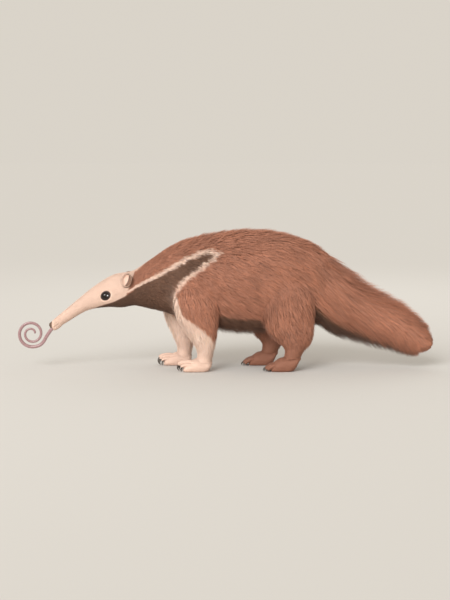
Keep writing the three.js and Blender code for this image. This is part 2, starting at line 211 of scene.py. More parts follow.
def ball(centre, size, turn=0.0, detail=24):
    bm = bmesh.new()
    bmesh.ops.create_uvsphere(bm, u_segments=detail, v_segments=detail // 2, radius=1)
    bmesh.ops.scale(bm, vec=size, verts=bm.verts)
    bmesh.ops.rotate(bm, matrix=Matrix.Rotation(turn, 3, "Y"), verts=bm.verts)
    bmesh.ops.translate(bm, vec=centre, verts=bm.verts)
    mesh = meshFrom(bm, "ball")
    return place(mesh, coordinates(mesh))


# Feet: each foot's shape from heel to toes as x, half its width and its height, how far the sole curves up
# at the heel, and the toes
feet = {
    "fore": {
        "track": 96, "heel": 32, "claws": (18, 46, 62, 24), "shape": np.array([
            (-60, 16, 46), (-72, 33, 50), (-105, 40, 60), (-140, 43, 56), (-172, 40, 44), (-184, 30, 30),
        ], float)},
    "hind": {
        "track": 92, "heel": 65, "claws": (20, 24, 25, 23, 18), "shape": np.array([
            (336, 16, 62), (318, 31, 66), (280, 36, 66), (240, 38, 60), (216, 34, 46), (206, 25, 30),
        ], float)},
}


def foreToes():
    across, thick = (-31, -12, 11, 31), (9.5, 13, 14, 10)
    toes = []
    for length, y, radius in zip(feet["fore"]["claws"], across, thick):
        big = length / 62
        tip, high = -186 - 14 * big, 22 + 14 * big
        toes.append({
            "bones": [(-150, y * 0.85, high + 4), (-178, y, high + 9), (tip, y, high)],
            "radius": radius,
            "claw": [(tip + 9, y, high + 2), (tip - length * 0.32, y - 4 * big, high * 0.62),
                     (tip + 2 - length * 0.1, y - 14 * big, 2.2)],
            "clawSize": (4 + 4.5 * big, 3.2 + 3 * big),
        })
    return toes


def hindToes():
    across, setBack = (-29, -15, 0, 15, 28), (7, 1, 0, 3, 10)
    toes = []
    for length, y, back in zip(feet["hind"]["claws"], across, setBack):
        tip = 184 + back
        toes.append({
            "bones": [(228, y * 0.85, 27), (203 + back, y, 33), (tip, y, 14)],
            "radius": 11,
            "claw": [(tip + 7, y, 17), (tip - length * 0.45, y, 16), (tip - length * 0.62, y, 2)],
            "clawSize": (5, 3.6),
        })
    return toes


feet["fore"]["toes"], feet["hind"]["toes"] = foreToes(), hindToes()
footSkin = {
    "inset": 2, "toeInset": 1.5,  # how deep the skin lies in
    "toeTaper": 0.22,  # how much thinner a toe is at its tip
    "groove": 5.0, "grooveWide": 0.2,  # between two toes, its width as a share of a toe's radius
    "reach": 55, "tall": 62,  # the stretch of a foot that has grooves
}


def footPoints(side, track, points):  # places given as x, distance outwards from the foot's middle, z
    sign, ahead = sides[side]
    return np.array([(x - ahead, sign * (track + y), z) for x, y, z in points], float)


def bezier(points, t):
    t = np.asarray(t)[..., None]
    return (1 - t) ** 2 * points[0] + 2 * t * (1 - t) * points[1] + t * t * points[2]


def onToe(side, foot, toe, t, angle, rim=1.0, inset=0.0):
    points = footPoints(side, foot["track"], toe["bones"])
    middle = bezier(points, t)
    ahead = unit(bezier(points, t + 0.02) - bezier(points, t - 0.02))
    across = unit(np.cross(ahead, (0.0, 0.0, 1.0)))
    up = np.cross(across, ahead)
    radius = (toe["radius"] * (1 - footSkin["toeTaper"] * t) - inset) * rim
    return middle + across * (radius * np.cos(angle))[..., None] + up * (radius * np.sin(angle))[..., None]


def onFoot(side, foot, t, angle, rim=1.0, inset=0.0):
    sign, ahead = sides[side]
    x, wide, high = np.moveaxis(curveAt(foot["shape"], t), -1, 0)
    high = high * (1 - 0.22 * step(t, 0.55, 0.9))  # lower behind the toes
    low = foot["heel"] * (1 - step(t, 0, 0.42)) - high * 0.25
    z = (high + low) / 2 + ((high - low) / 2 - inset) * np.sin(angle) * rim
    return np.stack([x - ahead, sign * foot["track"] + (wide - inset) * np.cos(angle) * rim, z], -1)


# The skin: one closed surface under the coat
skinShape = {
    "voxel": 2.8,  # millimetres
    "headInset": 1.8,  # how deep the skin lies under short hair
    "headTo": (4.6, 5.6),  # the ribs where the short hair ends
    "bodyDepth": 0.15, "bodyFrom": (5, 8.5),  # under long hair, as a share of the body's thickness
    "tailDepth": 0.6, "tailFrom": (12.6, 14.4),
    "tailEnd": 17.75, "tailRound": 0.5,  # in ribs
    "tailPlug": ((915, 0, 110), (16, 9, 10)),  # a ball in the middle of the tail's end
    "snoutTip": (10, 13.5, 17.5), "lowerLip": ((-23, 0, 16), (31, 12.5, 10)),
    "smoothing": 6,
    "keepBody": 0.3,  # the share of faces that is kept under long hair
    "fineAhead": (395, 430), "fineBelow": (60, 90),  # where the head and the feet keep all their faces
    "fineSnout": 34, "fineSpot": 38,  # how far finer faces reach round the snout's tip, the eyes and ears
}


def skinDepth(along):
    body, tail = skinShape["bodyDepth"], skinShape["tailDepth"]
    return body * step(along, *skinShape["bodyFrom"]) + (tail - body) * step(along, *skinShape["tailFrom"])


def onSkin(along, angle, rim=1.0):
    depth = skinDepth(along)
    rounded = skinShape["tailRound"]
    q = np.clip((along - (skinShape["tailEnd"] - rounded)) / rounded, 0, 1)
    depth = depth + (1 - depth) * (1 - np.sqrt(1 - q * q * 0.98))  # not quite closed, so its end has a rim
    inset = skinShape["headInset"] * (1 - step(along, *skinShape["headTo"]))
    return onBody(along, angle, np.where(rim > 0.5, depth, 1), -inset)


def limbInset(limb, t):
    return limb["coat"] / 2 * (1 - step(t, limb["bare"] - limbSkin["fade"], limb["bare"])) + limbSkin["least"]


earShape = {
    "half": 31, "narrow": 0.86, "deep": 19, "wall": 3.4, "centre": (-438, 60, 404), "lean": 12, "turn": 62}


def earTurn(side):
    sign = sides[side][0]
    lean = Matrix.Rotation(math.radians(earShape["lean"]), 3, "Y")
    return Matrix.Rotation(math.radians(-sign * earShape["turn"]), 3, "Z") @ lean


def earCup(side):
    half = earShape["half"]
    bm = bmesh.new()
    bmesh.ops.create_uvsphere(bm, u_segments=40, v_segments=24, radius=1)
    bmesh.ops.bisect_plane(
        bm, geom=bm.verts[:] + bm.edges[:] + bm.faces[:], plane_co=(-0.12, 0, 0), plane_no=(-1, 0, 0),
        clear_outer=True)
    bmesh.ops.scale(bm, vec=(earShape["deep"], earShape["narrow"] * half, half), verts=bm.verts)
    bmesh.ops.solidify(bm, geom=bm.faces[:], thickness=earShape["wall"])
    bmesh.ops.rotate(bm, matrix=earTurn(side), verts=bm.verts)
    bmesh.ops.translate(bm, vec=mirrored(earShape["centre"], sides[side][0]), verts=bm.verts)
    bmesh.ops.recalc_face_normals(bm, faces=bm.faces)
    mesh = meshFrom(bm, "ear")
    return place(mesh, coordinates(mesh))


def skinParts():
    end = skinShape["tailEnd"]
    lip, lipSize = skinShape["lowerLip"]
    parts = [
        bentTube(56, 150, lambda t, angle, rim: onSkin(t * end, angle, rim)),
        ball(*skinShape["tailPlug"], math.radians(28)),
        ball(atSnout(0, 0, 0), skinShape["snoutTip"], snoutTurn),
        ball(atSnout(*lip), lipSize, snoutTurn),
    ]
    for side, (sign, _) in sides.items():
        for limb in (foreLimb, hindLimb):
            def leg(t, angle, rim):
                inset = limbInset(limb, t)
                ring, middle = onLimb(side, limb, t, angle, inset), onLimb(side, limb, t, 0.0, inset)
                opposite = onLimb(side, limb, t, math.pi, inset)
                return np.where(rim[:, None] > 0.5, ring, (middle + opposite) / 2)
            parts.append(bentTube(32, 40, leg))
        for foot in feet.values():
            parts.append(bentTube(
                28, 24, lambda t, angle, rim: onFoot(side, foot, t, angle, rim, footSkin["inset"])))
            for toe in foot["toes"]:
                parts.append(bentTube(
                    14, 12, lambda t, a, rim: onToe(side, foot, toe, t, a, rim, footSkin["toeInset"])))
                tip = footPoints(side, foot["track"], toe["bones"])[2]
                size = toe["radius"] * (1 - footSkin["toeTaper"]) - footSkin["toeInset"]
                parts.append(ball(tip, [size] * 3, detail=14))
        flesh = [eyeRadius + more for more in lids["flesh"]]
        parts.append(ball(mirrored(eyeCentre, sign), flesh, snoutTurn))
        parts.append(earCup(side))
    return parts


def remeshed(parts):
    bm = bmesh.new()
    for mesh in parts:
        bm.from_mesh(mesh)
        bpy.data.meshes.remove(mesh)
    for v in bm.verts:  # flat soles, clear of the floor
        v.co.z = max(v.co.z, 1.2 * mm)
    obj = newObject("skinParts", meshFrom(bm, "skinParts"))
    remesh = obj.modifiers.new("Remesh", "REMESH")
    remesh.mode = "VOXEL"
    remesh.voxel_size = skinShape["voxel"] * mm
    soften = obj.modifiers.new("Smooth", "SMOOTH")
    soften.factor = 0.5
    soften.iterations = skinShape["smoothing"]
    return applied(obj)


def thinned(mesh):
    # fewer faces where long hair hides the skin
    obj = newObject("skinThinned", mesh)
    co = (coordinates(mesh) - shift) / mm
    fine = np.maximum(
        step(-co[:, 0], *skinShape["fineAhead"]), 1 - step(co[:, 2], *skinShape["fineBelow"]))
    group = obj.vertex_groups.new(name="coarse")
    for weight in range(11):
        chosen = np.flatnonzero(np.round((1 - fine) * 10) == weight)
        group.add(chosen.tolist(), weight / 10, "REPLACE")
    thin = obj.modifiers.new("Decimate", "DECIMATE")
    thin.ratio = skinShape["keepBody"]
    thin.vertex_group = "coarse"
    return applied(obj)


lids = {
    "long": 20, "tall": 16.5, "thick": 1.8,
    "flesh": (4, 0.5, 3),  # how much larger than the eyeball the flesh round it is
    "sunk": 3,  # how deep the skin lies behind the opening
    "thin": (1.1, 1.5),  # the lid's edge, as shares of the opening
    "reach": (1.1, 1.55),  # where the lid passes into the face
    "crease": 1.0, "creaseAt": 1.42, "creaseWide": 0.1,
}
mouth = {"long": 46, "under": 8.5, "wide": 9.5, "high": 8.0, "deep": 12, "groove": 2.2, "lipLine": 1.6}
nostril = {"out": 6.5, "up": -6, "wide": 3.4, "tall": 2.4, "slant": 0.4, "deep": 5.5}


def acrossEye(at, sign):
    # how far places are from the middle of an eye's opening, as a share of it, and which are outside
    local = at - mirrored(eyeCentre, sign)
    ahead, below = (np.array(v) - np.array(atSnout(0, 0, 0)) for v in (atSnout(1, 0, 0), atSnout(0, 0, 1)))
    away = np.hypot(local @ ahead / lids["long"], local @ below / lids["tall"])
    return away, (local[:, 1] * sign > 0), local


def eyesPressed(at):
    # the skin round an eye is drawn over the eyeball as lids, and sunk behind it inside the opening
    for sign, _ in sides.values():
        away, outside, local = acrossEye(at, sign)
        lid = eyeRadius + lids["thick"] * (1 - step(away, *lids["thin"]))
        hold = np.where(away < 1, eyeRadius - lids["sunk"], lid)
        length = np.linalg.norm(local, axis=1)[:, None]
        target = at - local + local / length * hold[:, None]
        keep = np.where(outside, step(away, *lids["reach"]), 1)[:, None]
        at = target * (1 - keep) + at * keep
        crease = np.exp(-((away - lids["creaseAt"]) / lids["creaseWide"]) ** 2)
        at[:, 1] -= sign * lids["crease"] * crease * outside
    return at


def inEar(at, sign, side):
    # places in an ear's own axes, and how far they are from the cup's middle, as a share of its inside
    local = (at - mirrored(earShape["centre"], sign)) @ np.array(earTurn(side))
    wide, tall = (earShape["half"] * k - earShape["wall"] - 0.5 for k in (earShape["narrow"], 1))
    return local, np.hypot(local[:, 1] / wide, local[:, 2] / tall)


def earsPressed(at):
    # whatever lies in an ear's cup is pushed back to the cup's inner wall
    for side, (sign, _) in sides.items():
        local, away = inEar(at, sign, side)
        cup = earShape["deep"] * np.sqrt(np.clip(1 - away ** 2, 0, 1)) - earShape["wall"]
        inside = (away < 1) & (local[:, 0] > -18) & (local[:, 0] < cup)
        local[inside, 0] = cup[inside]
        moved = local @ np.array(earTurn(side)).T + mirrored(earShape["centre"], sign)
        at = np.where(inside[:, None], moved, at)
    return at


def mouthPressed(at):
    # the line of the lips, the mouth's opening round the tongue, and the nostrils
    tip = np.array(atSnout(0, 0, 0))
    ahead, below = np.array(atSnout(1, 0, 0)) - tip, np.array(atSnout(0, 0, 1)) - tip
    local = at - tip
    forward, under, out = local @ ahead, local @ below, local[:, 1]
    lips = (np.abs(out) < 20) * step(forward, -mouth["long"], 8 - mouth["long"])
    groove = np.exp(-((under - mouth["under"]) / mouth["lipLine"]) ** 2) * lips * mouth["groove"]
    at[:, 1] -= np.sign(out) * np.minimum(groove, np.abs(out))
    fromMiddle = (out / mouth["wide"]) ** 2 + ((under - mouth["under"]) / mouth["high"]) ** 2
    at = at - ahead * (((fromMiddle < 1) & (forward > 0)) * mouth["deep"])[:, None]
    for sign in (-1, 1):
        slit = under - nostril["up"] + nostril["slant"] * (out * sign - nostril["out"])
        near = np.hypot((out - sign * nostril["out"]) / nostril["wide"], slit / nostril["tall"])
        at = at - ahead * (np.exp(-near ** 3) * nostril["deep"] * (forward > -4))[:, None]
    return at


def toesParted(at, normals):
    # grooves where two toes lie side by side, fading out over the foot
    for side, (sign, ahead) in sides.items():
        for foot in feet.values():
            back = foot["toes"][1]["bones"][0][0] - ahead
            low = (at[:, 1] * sign > 0) & (at[:, 2] < footSkin["tall"])
            near = np.flatnonzero((np.abs(at[:, 0] - back + 20) < footSkin["reach"]) & low)
            spots = at[near]
            shares = []
            for toe in foot["toes"]:
                bones = footPoints(side, foot["track"], toe["bones"])
                line = bezier(bones, np.linspace(-0.6, 1, 28))
                reach = np.linalg.norm(spots[:, None] - line[None], axis=2).min(1)
                shares.append(reach / toe["radius"])
            first, second = np.sort(np.array(shares), 0)[:2]
            groove = np.exp(-((second - first) / footSkin["grooveWide"]) ** 2)
            groove = groove * (1 - step(spots[:, 0], back - 5, back + 26))
            depth = footSkin["groove"] * groove * step(spots[:, 2], 2, 8)
            at[near] -= normals[near] * depth[:, None]
    return at


def dented(mesh):
    # eye openings, nostrils, mouth and toes, pressed into a finer stretch of the skin
    bm = bmesh.new()
    bm.from_mesh(mesh)
    spots = [(atSnout(-8, 0, 4), skinShape["fineSnout"])]
    for sign, _ in sides.values():
        spots += [(mirrored(spot, sign), skinShape["fineSpot"]) for spot in (eyeCentre, earShape["centre"])]
    for centre, reach in spots:
        middle = Vector(centre) * mm + Vector(shift)
        near = [e for e in bm.edges if (e.verts[0].co - middle).length < reach * mm]
        bmesh.ops.subdivide_edges(bm, edges=near, cuts=1, use_grid_fill=True)
    bmesh.ops.triangulate(bm, faces=[f for f in bm.faces if len(f.verts) > 4])
    bm.to_mesh(mesh)
    bm.free()
    at = toesParted((coordinates(mesh) - shift) / mm, rowsOf(mesh.vertices, "normal", 3))
    return place(mesh, mouthPressed(earsPressed(eyesPressed(at))))


# The coat's colours, in linear light
def linear(r, g, b):
    v = np.array((r, g, b)) / 255
    return np.where(v < 0.04045, v / 12.92, ((v + 0.055) / 1.055) ** 2.4)


colours = {
    "brown": linear(160, 108, 86),
    "dark": linear(100, 72, 57),
    "cream": linear(251, 215, 195),
    "ear": linear(138, 104, 86),
    "leather": linear(58, 44, 40),
    "nose": linear(104, 80, 66),
}

# The coat's markings, with its underside partly painted shade and a painted highlight on the nape, as lines
# in the side view in millimetres
colourLines = {
    "cheek": np.array([(-640, 245), (-599, 265), (-561, 282), (-496, 304), (-451, 327), (-399, 362)], float),
    "frontStripe": np.array([
        (-432, 352), (-367, 390), (-302, 423), (-238, 463), (-173, 505), (-108, 533), (-57, 544), (-25, 537),
    ], float),
    "rearStripe": np.array([
        (-30, 528), (-44, 511), (-89, 478), (-147, 433), (-199, 382), (-221, 330), (-221, 279), (-205, 240),
    ], float),
    # a painted highlight: a pale strip along the top edge of the nape
    "napeHighlight": np.array([(-425, 447), (-395, 450), (-365, 470), (-335, 492)], float),
    "legFront": np.array([
        (-260, 480), (-225, 380), (-211, 309), (-200, 268), (-181, 243), (-140, 217), (-96, 190), (-67, 160),
        (-55, 135), (-20, 110),
    ], float),
    # darker underneath, along the belly and the tail: partly the underside's own darker hair, partly painted
    # shade
    "belly": np.array([
        (-110, 205), (-60, 236), (0, 237), (64, 226), (162, 222), (260, 228), (330, 252), (395, 282),
        (452, 233), (517, 191), (581, 162), (646, 133), (710, 101), (775, 78), (934, 40),
    ], float),
}
creamBandWidth = {"frontStripe": (9, 22), "rearStripe": (13, 19), "napeHighlight": (20, 2)}  # at its two ends
colourFades = {  # where markings, the painted shade underneath and the nape's painted highlight set in, in millimetres along the body or upwards
    "wedge": (-680, -600), "belly": (-130, -100), "creamBands": (195, 240),
    "faceEnd": (-434, 354), "faceLean": 0.36,  # the face ends at this place, on a line that leans back
}


def lineDistance(x, z, line):  # the distance to a line, and how far along it, from 0 to 1
    best, where = np.full(x.shape, 1e9), np.zeros(x.shape)
    for i, (a, b) in enumerate(zip(line[:-1], line[1:])):
        d = b - a
        t = np.clip(((x - a[0]) * d[0] + (z - a[1]) * d[1]) / (d @ d), 0, 1)
        away = np.hypot(x - a[0] - t * d[0], z - a[1] - t * d[1])
        nearer = away < best
        best, where = np.where(nearer, away, best), np.where(nearer, (i + t) / (len(line) - 1), where)
    return best, where


def markingsAndPaintedLight(x, z, fore, hind, ear, blur):
    # the coat's colour at a place of the side view, its underside partly darkened with painted shade and the
    # nape's top edge lit with a painted highlight; fore, hind and ear tell how much it is a leg or an ear
    def soft(distance):
        return step(distance, -blur, blur)

    def mix(a, b, t):
        return a * (1 - t[..., None]) + b * t[..., None]

    brown, dark, cream = (np.broadcast_to(colours[k], x.shape + (3,)) for k in ("brown", "dark", "cream"))
    frontLine = np.vstack([colourLines["cheek"], colourLines["frontStripe"][1:]])
    rear = colourLines["rearStripe"][::-1]
    below = np.interp(x, frontLine[:, 0], frontLine[:, 1]) - z
    ahead = np.interp(z, rear[:, 1], rear[:, 0]) - x
    wedge = soft(below) * soft(ahead) * step(x, *colourFades["wedge"])
    faceX, faceZ = colourFades["faceEnd"]
    face = soft(faceX + (z - faceZ) * colourFades["faceLean"] - x) * (1 - wedge)
    # the underside darker: partly its own darker hair, partly painted shade; not on the hind legs
    belly = soft(np.interp(x, *colourLines["belly"].T) - z) * step(x, *colourFades["belly"])
    body = mix(brown, dark, belly * (1 - hind))
    body = mix(body, cream, face)
    body = mix(body, dark, wedge)
    # the cream stripes, and the painted highlight along the nape's top edge
    for name, (first, last) in creamBandWidth.items():
        away, along = lineDistance(x, z, colourLines[name])
        creamBand = soft((last * along + first * (1 - along)) / 2 - away)
        body = mix(body, cream, creamBand * step(z, *colourFades["creamBands"]))
    leg = mix(brown, cream, soft(np.interp(x, *colourLines["legFront"].T) - z))
    body = mix(body, leg, fore)
    return mix(body, np.broadcast_to(colours["ear"], x.shape + (3,)), ear)


# How the coat lies. Guides over the body carry its lie, depth and hair length and its place in the side view.
furLength = {  # millimetres at each rib
    "rib": (0, 1.5, 3, 4, 4.8, 5.5, 6.3, 7, 8, 9, 10, 12, 13, 17),
    "hair": (5, 6.5, 8.5, 11, 14, 20, 28, 34, 43, 58, 74, 92, 115, 150),
}
limbFur = {"t": (0, 0.3, 0.55, 0.75, 0.9, 1), "hair": (62, 52, 34, 17, 11, 9)}
shortFur = {"foot": 9.5, "toe": 6, "earOutside": 7, "earInside": 4}
furLie = {"flank": 0.55, "leg": 0.45, "foot": 0.35, "heel": 0.6}  # how far hair turns down, or on legs back
zones = {"head": 0, "neck": 1, "torso": 2, "tail": 3, "foreleg": 4, "hindleg": 5, "foot": 6, "ear": 7}


def guideRows(zone, at, lie, depth, hair, x, z, fore=0.0, hind=0.0, ear=0.0):
    single = [np.broadcast_to(c, len(at)) for c in (depth, hair, x, z, fore, hind, ear, zones[zone])]
    return np.hstack([at, unit(lie), np.stack(single, -1)])


def grid(first, second):  # every pair from two rows of numbers
    return (a.ravel() for a in np.meshgrid(first, second, indexing="ij"))


def bodyGuides():
    along, angle = grid(np.linspace(0.02, 17.3, 190), np.linspace(-math.pi, math.pi, 72, endpoint=False))
    at, coat = onSkin(along, angle), onBody(along, angle)
    lie = unit(onSkin(along + 0.04, angle) - onSkin(along - 0.04, angle))
    flank = np.abs(np.cos(angle)) * step(along, 5, 7.5)
    lie = lie + np.stack([0 * flank, 0 * flank, -furLie["flank"] * flank], -1)
    hair = np.interp(along, furLength["rib"], furLength["hair"])
    hair = hair * (1 + 0.25 * step(np.sin(angle), 0.7, 1) * step(along, 6, 8))  # longer on the back
    depth = np.linalg.norm(coat - at, axis=1)
    rows = guideRows("head", at, lie, depth, hair, coat[:, 0], coat[:, 2])
    rows[:, -1] = np.select([along < 4.9, along < 7, along < 13], [0, 1, 2], 3)  # head, neck, torso, tail
    return [rows]


def legGuides(side, name, limb):
    ahead = sides[side][1]
    t, angle = grid(np.linspace(0.02, 1, 44), np.linspace(0, 2 * math.pi, 36, endpoint=False))
    inset = limbInset(limb, t)
    at, coat = onLimb(side, limb, t, angle, inset), onLimb(side, limb, t, angle)
    before, after = (onLimb(side, limb, t + k, angle, inset) for k in (-0.02, 0.02))
    lie = unit(after - before) + np.stack([furLie["leg"] * (1 - t), 0 * t, 0 * t], -1)
    hair = np.interp(t, limbFur["t"], limbFur["hair"])
    hair = hair * (1 + 0.5 * step(np.cos(angle), 0.2, 0.9))  # longer behind
    share = curveAt(limb["sections"], t)[:, 5]
    return [guideRows(
        name, at, lie, inset, hair, coat[:, 0] + ahead * share, coat[:, 2],
        fore=float(name == "foreleg"), hind=float(name == "hindleg"))]


def footGuides(side, name, foot):
    ahead = sides[side][1]
    kind = {name: 1.0}
    t, angle = grid(np.linspace(0, 1, 20), np.linspace(0, 2 * math.pi, 28, endpoint=False))
    at = onFoot(side, foot, t, angle, 1.0, footSkin["inset"])
    heel = 1 - step(t, 0.05, 0.4)
    lie = np.stack([heel - 1, 0 * t, -furLie["foot"] - furLie["heel"] * heel], -1)
    rows = [guideRows("foot", at, lie, 3, shortFur["foot"], at[:, 0] + ahead, at[:, 2], **kind)]
    for toe in foot["toes"]:
        t, angle = grid(np.linspace(0, 1, 12), np.linspace(0, 2 * math.pi, 12, endpoint=False))
        at = onToe(side, foot, toe, t, angle, 1.0, footSkin["toeInset"])
        lie = unit(onToe(side, foot, toe, t + 0.05, angle) - onToe(side, foot, toe, t - 0.05, angle))
        rows.append(guideRows("foot", at, lie, 2, shortFur["toe"], at[:, 0] + ahead, at[:, 2], **kind))
    return rows


def earGuides(side):
    sign = sides[side][0]
    turn = np.array(earTurn(side))
    u, v = grid(np.linspace(0, math.pi, 14), np.linspace(-1.7, 1.7, 18))
    half = earShape["half"]
    rows = []
    for size, hair in ((1, shortFur["earOutside"]), (0.8, shortFur["earInside"])):
        deep, wide = earShape["deep"] * np.cos(v), earShape["narrow"] * half * np.sin(v)
        local = size * np.stack([deep * np.sin(u), wide * np.sin(u), half * np.cos(u)], -1)
        at = local @ turn.T + mirrored(earShape["centre"], sign)
        lie = np.broadcast_to(turn @ np.array((0.1, 0, 1.0)), at.shape)
        rear = step(local[:, 0], -2, 4) if size == 1 else step(local[:, 1] * sign, -6, 4)
        rows.append(guideRows("ear", at, lie, hair / 3, hair, at[:, 0], at[:, 2], ear=rear))
    return rows


def allGuides():
    rows = bodyGuides()
    for side in sides:
        rows += legGuides(side, "foreleg", foreLimb) + legGuides(side, "hindleg", hindLimb)
        rows += footGuides(side, "fore", feet["fore"]) + footGuides(side, "hind", feet["hind"])
        rows += earGuides(side)
    return np.vstack(rows)


def fieldsOn(mesh, co):
    # each vertex of the skin takes the mean of its nearest guides, smoothed over the surface
    rows = allGuides()
    tree = kdtree.KDTree(len(rows))
    for i, p in enumerate(rows[:, :3].tolist()):
        tree.insert(p, i)
    tree.balance()
    found = [tree.find_n(p, 6) for p in co.tolist()]
    index = np.array([[i for _, i, _ in f] for f in found])
    away = np.array([[d for _, _, d in f] for f in found])
    weight = 1 / (away + 1.5) ** 2
    weight /= weight.sum(1, keepdims=True)
    fields = np.einsum("nk,nkf->nf", weight, rows[index][:, :, 3:-1])
    zone = rows[index[:, 0], -1].astype(int)
    a, b = rowsOf(mesh.edges, "vertices", 2, np.int32).T
    count = 1 + np.bincount(a, minlength=len(co)) + np.bincount(b, minlength=len(co))
    for _ in range(6):
        for k in range(fields.shape[1]):
            f = fields[:, k]
            total = f + np.bincount(a, f[b], len(co)) + np.bincount(b, f[a], len(co))
            fields[:, k] = total / count
    return fields, zone


def skinUnwrapped(mesh):
    skin = newObject("skin", mesh)
    mesh.uv_layers.new(name="OFBake")
    bpy.context.view_layer.objects.active = skin
    skin.select_set(True)
    bpy.ops.object.mode_set(mode="EDIT")
    bpy.ops.mesh.select_all(action="SELECT")
    bpy.ops.uv.smart_project(angle_limit=1.15, island_margin=0.002)
    bpy.ops.object.mode_set(mode="OBJECT")
    skin.select_set(False)
    return skin


def paint(mesh, values):  # values are rows of red, green and blue, one for each vertex
    layer = mesh.color_attributes.new(name="coat", type="FLOAT_COLOR", domain="POINT")
    rows = np.ones((len(values), 4), np.float32)
    rows[:, :3] = values
    layer.data.foreach_set("color", rows.ravel())


print("skin")
skin = skinUnwrapped(dented(thinned(remeshed(skinParts()))))
mesh = skin.data
co = (coordinates(mesh) - shift) / mm
fields, zone = fieldsOn(mesh, co)
earShade = np.zeros(len(co))
for side, (sign, _) in sides.items():  # the cup is pale in front, brown behind, with painted shade along the fold between
    local, away = inEar(co, sign, side)
    wall = earShape["deep"] * np.sqrt(np.clip(1 - (0.94 * away) ** 2, 0, 1)) - 0.6 * earShape["wall"]
    inside = (away < 1) & (local[:, 0] < wall) & (local[:, 0] > -6)
    behind = local[:, 1] * sign - 0.3 * local[:, 2]
    fields[inside, -1] = step(behind[inside], -2, 2)
    # painted shade, darker along the fold and towards the cup's middle
    earShade += inside * 0.8 * np.exp(-(behind / 3) ** 2) * (1 - step(away, 0.7, 1))
hairField, sideX, sideZ, foreShare, hindShare, earShare = fields[:, 4:].T
mesh.polygons.foreach_set("use_smooth", np.ones(len(mesh.polygons), bool))
mesh.calc_loop_triangles()
triangles = rowsOf(mesh.loop_triangles, "vertices", 3, np.int32)
loops = rowsOf(mesh.loop_triangles, "loops", 3, np.int32)
uvMap = rowsOf(mesh.uv_layers["OFBake"].data, "uv", 2)
vertexNormals = rowsOf(mesh.vertices, "normal", 3).astype(float)
corners = co[triangles]
crossed = np.cross(corners[:, 1] - corners[:, 0], corners[:, 2] - corners[:, 0])
areas = np.linalg.norm(crossed, axis=1) / 2
faceNormals = unit(crossed)
faceFields = fields[triangles].mean(1)
skinTree = BVHTree.FromPolygons(co.tolist(), triangles.tolist())
print("skin done", len(mesh.vertices), "vertices,", len(triangles), "triangles")

# The tufts
tuftShape = {
    "width": ((3, 8, 20, 50, 100, 200), (1.2, 1.7, 2.4, 3.4, 4.4, 6.0)),  # by hair length
    "thick": 0.3,  # as a share of the width
    "sink": 1.5,
    "patch": 0.003,
    "lay": 10,  # degrees that a tuft may turn from the lie
    "clump": 0.55,  # how far tufts lean towards the middle of their lock
    "layer": (0.55, 1.0),  # how far tufts rise, as a share of the coat's depth
    "length": (0.75, 1.2),
    "least": 0.28,  # a tuft's least rise, as a share of its length
    "hang": 0.75,  # how much more the coat stands out underneath
    "stand": 0.35,  # and on the neck and legs
    "lift": 0.36,  # long hair shades itself, so it is painted this much lighter
    "brightest": 0.96,
    "soft": 0.5,  # how much a tuft is shaded as the body under it, not as a strand
    "lean": ((8, 60), (0.3, 0.8)),  # and how round it looks, by hair length
}

nose, leather = step(-co[:, 0], 774, 782), np.zeros(len(co))  # the nose's bare skin, and the lids' rims
for sign, _ in sides.values():
    away, outside, _ = acrossEye(co, sign)
    leather = np.maximum(leather, outside * (1 - step(away, 1.18, 1.3)))
ground = markingsAndPaintedLight(sideX, sideZ, foreShare, hindShare, earShare, 3.0)
ground = ground * (1 + 0.4 * step(hairField, 8, 30))[:, None]  # as light as the hair over it
ground = ground * np.minimum(1, tuftShape["brightest"] / ground.max(1))[:, None]
# the nose's and the lids' bare skin, and the ear's painted shade in its fold, take their colours
for name, share in (("nose", nose), ("leather", np.maximum(leather, earShade))):
    ground = ground * (1 - share[:, None]) + colours[name] * share[:, None]
paint(mesh, ground)


def nearestFaces(points):
    find = skinTree.find_nearest
    return np.array([find(p)[2] for p in points.tolist()])


def smoothNormals(face, point):
    a, b, c = (co[triangles[face, k]] for k in range(3))
    v0, v1, v2 = b - a, c - a, point - a
    d00, d01, d11 = (v0 * v0).sum(1), (v0 * v1).sum(1), (v1 * v1).sum(1)
    d20, d21 = (v2 * v0).sum(1), (v2 * v1).sum(1)
    scale = np.maximum(d00 * d11 - d01 * d01, 1e-12)
    v, w = np.clip((d11 * d20 - d01 * d21) / scale, 0, 1), np.clip((d00 * d21 - d01 * d20) / scale, 0, 1)
    weights = np.stack([1 - v - w, v, w], -1)
    return unit(np.einsum("nk,nkf->nf", weights, vertexNormals[triangles[face]]))


def turned(v, axis, angle):  # v turned about a unit axis at right angles to it
    c, s = np.cos(angle)[:, None], np.sin(angle)[:, None]
    return v * c + np.cross(axis, v) * s


def spreadRoots(inZone, coverage, most):
    # roots over the faces of a zone, closer where the hair is short, with their places and faces
    hair = faceFields[:, 4]
    width = np.interp(hair, *tuftShape["width"])
    weight = areas * inZone * coverage / (hair * width)
    count = min(int(weight.sum()), most)
    total = np.cumsum(weight)
    pick = (np.arange(count) + rng.random(count)) / count * total[-1]
    face = np.minimum(np.searchsorted(total, pick), len(total) - 1)
    a, b = rng.random((2, count))
    fold = a + b > 1
    a, b = np.where(fold, 1 - a, a), np.where(fold, 1 - b, b)
    bary = np.stack([1 - a - b, a, b], -1)
    root = np.einsum("nk,nkf->nf", bary, corners[face])
    uv = np.einsum("nk,nkf->nf", bary, uvMap[loops[face]])
    return root, face, uv


